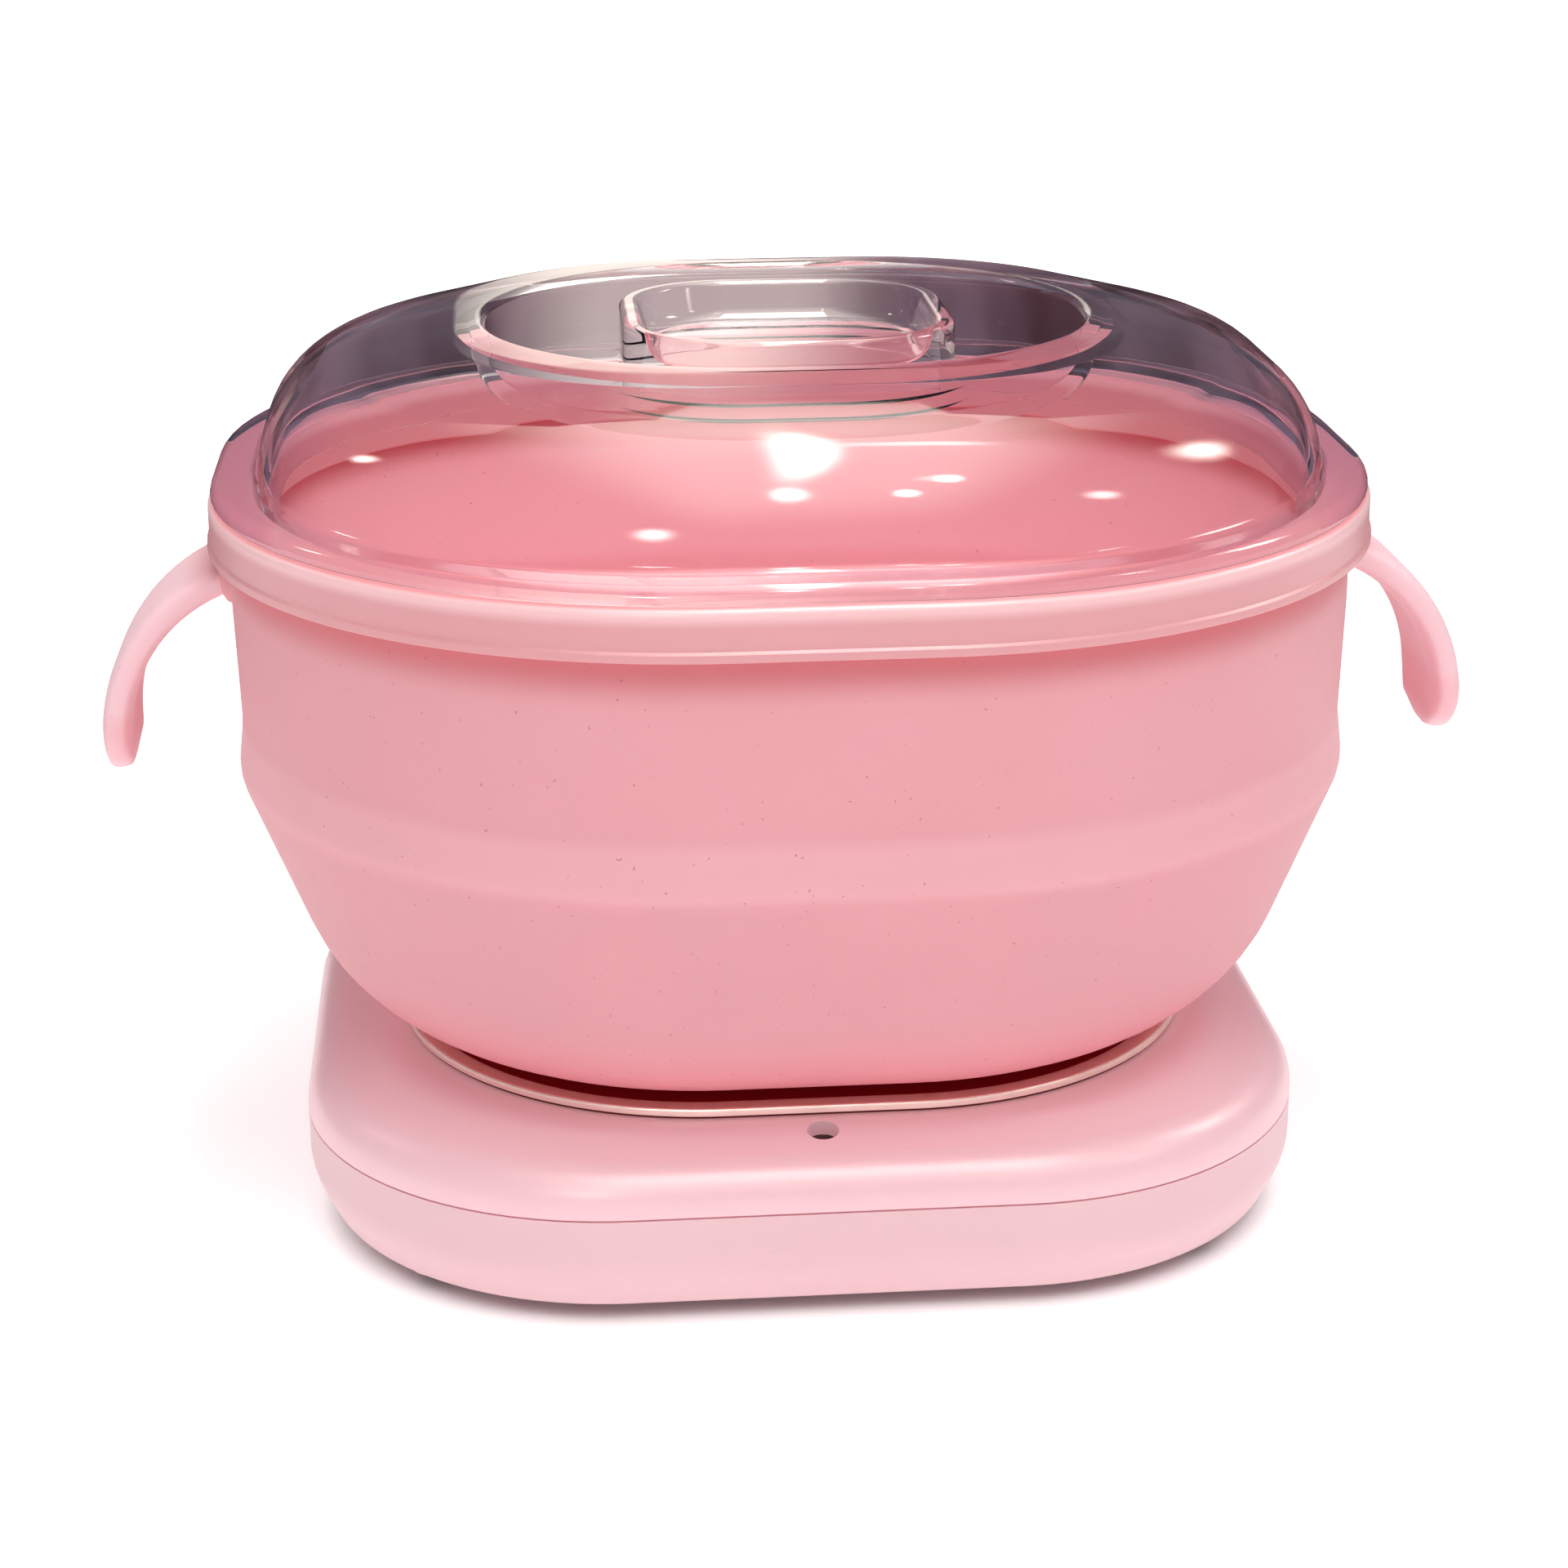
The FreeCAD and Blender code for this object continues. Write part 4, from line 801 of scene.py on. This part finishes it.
back = Vector((math.sin(AZIMUTH) * math.cos(ELEVATION), -math.cos(AZIMUTH) * math.cos(ELEVATION),
               math.sin(ELEVATION)))
right = Vector((0, 0, 1)).cross(back).normalized()
up = back.cross(right)
turn = Matrix((right, up, back)).transposed() @ Matrix.Rotation(ROLL, 3, "Z")
lens = bpy.data.cameras.new("camera")
lens.sensor_width = SENSOR
lens.lens = SENSOR * FOCAL_PIXELS / PICTURE
lens.clip_start = 10 * MM
camera = bpy.data.objects.new("camera", lens)
camera.matrix_world = Matrix.Translation(TARGET + back * DISTANCE) @ turn.to_4x4()
bpy.context.scene.collection.objects.link(camera)
bpy.context.scene.camera = camera
bpy.context.scene.view_settings.view_transform = "Standard"
print("camera at", tuple(round(value, 3) for value in camera.location))

# %% [markdown]
# ## What stands behind the lid
# A clear lid is seen by what stands behind it and by what it mirrors. Darkening the plastic itself
# would dull the pot inside. So a dark card goes behind it, which only mirrored rays and rays through
# the lid can meet, and which makes its shoulders smoky. Its middle is paler, where the picture shows
# light through the dome.

# %% Dark card
CARD_WIDTH, CARD_HEIGHT, CARD_BACK, CARD_LOW = 1.6, 0.155, 0.26, 0.001
STREAKS = (3, 0.6, 1)
STREAK_START, STREAK_FULL = 0.35, 0.7
PALE_FULL, PALE_END = 0.02, 0.055


def glowing(name, strength, **constants):
    """Finish for a card that is seen by its own light."""
    return Finish(name, roughness=1.0, specular_ior_level=0.0, emission_strength=strength, **constants)


def smoke():
    finish = glowing("smoky_card", 1.0)
    tone = finish.ramp(finish.noise(per_metre=9, detail=3, stretch=STREAKS), STREAK_START, STREAK_FULL)
    grey = finish.blend(tone, shade(38, 27, 34), shade(104, 86, 98))
    pale = 1 - finish.ramp(finish.aside(), PALE_FULL, PALE_END)
    finish.feed(emission_color=finish.blend(pale * 0.8, grey, shade(205, 190, 184)))
    return finish.feed(base_color=finish.blend(tone, BLACK, (0.01, 0.01, 0.01, 1)))


def standing_card(name, width, height, behind, low, finish):
    card = wear(flat_card(name, width, height), finish)
    card.location = (0, behind, low + height / 2)
    card.rotation_euler = (math.radians(90), 0, 0)
    hide_from(card, "camera", "diffuse", "shadow")
    return card


backing = standing_card("backing_card", CARD_WIDTH, CARD_HEIGHT, CARD_BACK, CARD_LOW, smoke())
print("card stands at", tuple(backing.location))

# %% [markdown]
# ## What the lid mirrors
# The top of the dome mirrors what is high up behind it, which in the picture looks like a bright
# window between dim walls. A lamp there would light the pot as well, so it is a second card, further
# back and higher, which glows in the middle and is dim at its sides.

# %% Bright card
WINDOW_WIDTH, WINDOW_HEIGHT, WINDOW_BACK, WINDOW_LOW = 2.4, 0.6, 0.6, 0.13
PANE_FULL, PANE_END = 0.02, 0.09
PANE, SIDES = (1.9, 1.8, 1.6, 1), (0.15, 0.13, 0.17, 1)


def window_light():
    finish = glowing("window_card", 1.0, base_color=BLACK)
    pane = 1 - finish.ramp(finish.aside(), PANE_FULL, PANE_END)
    return finish.feed(emission_color=finish.blend(pane, SIDES, PANE))


window = standing_card("window_card", WINDOW_WIDTH, WINDOW_HEIGHT, WINDOW_BACK, WINDOW_LOW, window_light())
print("window stands at", tuple(window.location))

# %% [markdown]
# ## Sparkles
# The lid has a star and some short bright dashes, which look like mirror images of lamps. Lamps could
# be moved about until their images fall right; following a sight line is surer. It runs from the
# camera through a place in the picture and is mirrored on the lid, and the light hangs at its end.


# %% Where a mirrored sight line ends
def mirrored_sight(across, down, hang_length):
    """Where the sight line through this place of the picture ends once the lid has mirrored it."""
    sight = Vector((across - PICTURE / 2, PICTURE / 2 - down, -FOCAL_PIXELS)).normalized()
    sight = camera.matrix_world.to_3x3() @ sight
    _, spot, _, face = lid.ray_cast(camera.matrix_world.translation, sight)
    corners = [lid.data.vertices[index] for index in lid.data.polygons[face].vertices]
    shares = poly_3d_calc([corner.co for corner in corners], spot)
    normal = sum((corner.normal * share for corner, share in zip(corners, shares)), Vector())
    return spot + sight.reflect(normal.normalized()) * hang_length


print("sight lines start at", tuple(round(value, 3) for value in camera.matrix_world.translation))

# %% [markdown]
# ## Lights that only the lid shows
# Each light is a small card that fades to nothing at its edge, so that its image is soft. Its sides
# follow the mirrored sight lines, and its image then fills a patch of the picture. A patch is given in
# pixels, by the place of its middle, its width and its height, and with the strength of the light. The
# veil is a wide faint one over the front of the dome.

# %% Lights that the lid mirrors
Patch = namedtuple("Patch", "across down wide tall strength")
VEIL = Patch(across=957, down=565, wide=980, tall=340, strength=9)
SPARKLES = [
    Patch(across=985, down=558, wide=150, tall=110, strength=70),
    Patch(across=966, down=606, wide=90, tall=34, strength=60),
    Patch(across=800, down=655, wide=90, tall=28, strength=45),
    Patch(across=1150, down=543, wide=320, tall=10, strength=25),
    Patch(across=1110, down=604, wide=60, tall=16, strength=80),
    Patch(across=1160, down=586, wide=80, tall=16, strength=80),
    Patch(across=1350, down=606, wide=80, tall=18, strength=40),
    Patch(across=1470, down=552, wide=130, tall=40, strength=35),
    Patch(across=446, down=562, wide=60, tall=16, strength=35)]
SPARKLE_HANG, VEIL_HANG = 0.6, 0.9
STEP = 6
FADE_FULL, FADE_END = 0.05, 0.5
WARM_EDGE, WARM_MIDDLE = (1.0, 0.95, 0.84, 1), (1.0, 0.98, 0.9, 1)
AROUND = ((-0.5, 0.5), (0.5, 0.5), (0.5, -0.5), (-0.5, -0.5))


def glow_spot(strength):
    """Warm white light that fades from the middle of a card to its edge."""
    finish = glowing("sparkle_glow", strength, base_color=BLACK)
    chart = finish.node("ShaderNodeTexCoord", out="UV")
    inputs = {0: chart, 1: (0.5, 0.5, 0)}
    away = finish.node("ShaderNodeVectorMath", {"operation": "DISTANCE"}, inputs, out="Value")
    fade = 1 - finish.ramp(away, FADE_FULL, FADE_END)
    warm = finish.blend(fade, WARM_EDGE, WARM_MIDDLE)
    return finish.feed(emission_color=warm, alpha=fade * fade)


def sparkle(name, patch, hang_length):
    """Glowing card whose mirror image in the lid fills this patch of the picture."""
    def sight(right_by, down_by):
        return mirrored_sight(patch.across + right_by, patch.down + down_by, hang_length)

    card = flat_card(name, patch.wide, patch.tall)
    rightward = sight(patch.wide / 2, 0) - sight(-patch.wide / 2, 0)
    downward = (sight(0, STEP) - sight(0, -STEP)) * patch.tall / (2 * STEP)
    middle = sight(0, 0)
    chart = card.data.uv_layers.new()
    for corner, (right_share, down_share) in enumerate(AROUND):
        card.data.vertices[corner].co = middle + rightward * right_share + downward * down_share
        chart.data[corner].uv = (0.5 + right_share, 0.5 + down_share)
    hide_from(card, "camera", "diffuse", "transmission", "shadow")
    return wear(card, glow_spot(patch.strength))


sparkle("veil", VEIL, VEIL_HANG)
for number, patch in enumerate(SPARKLES):
    sparkle("sparkle_%d" % number, patch, SPARKLE_HANG)
print("sparkles:", len(SPARKLES))
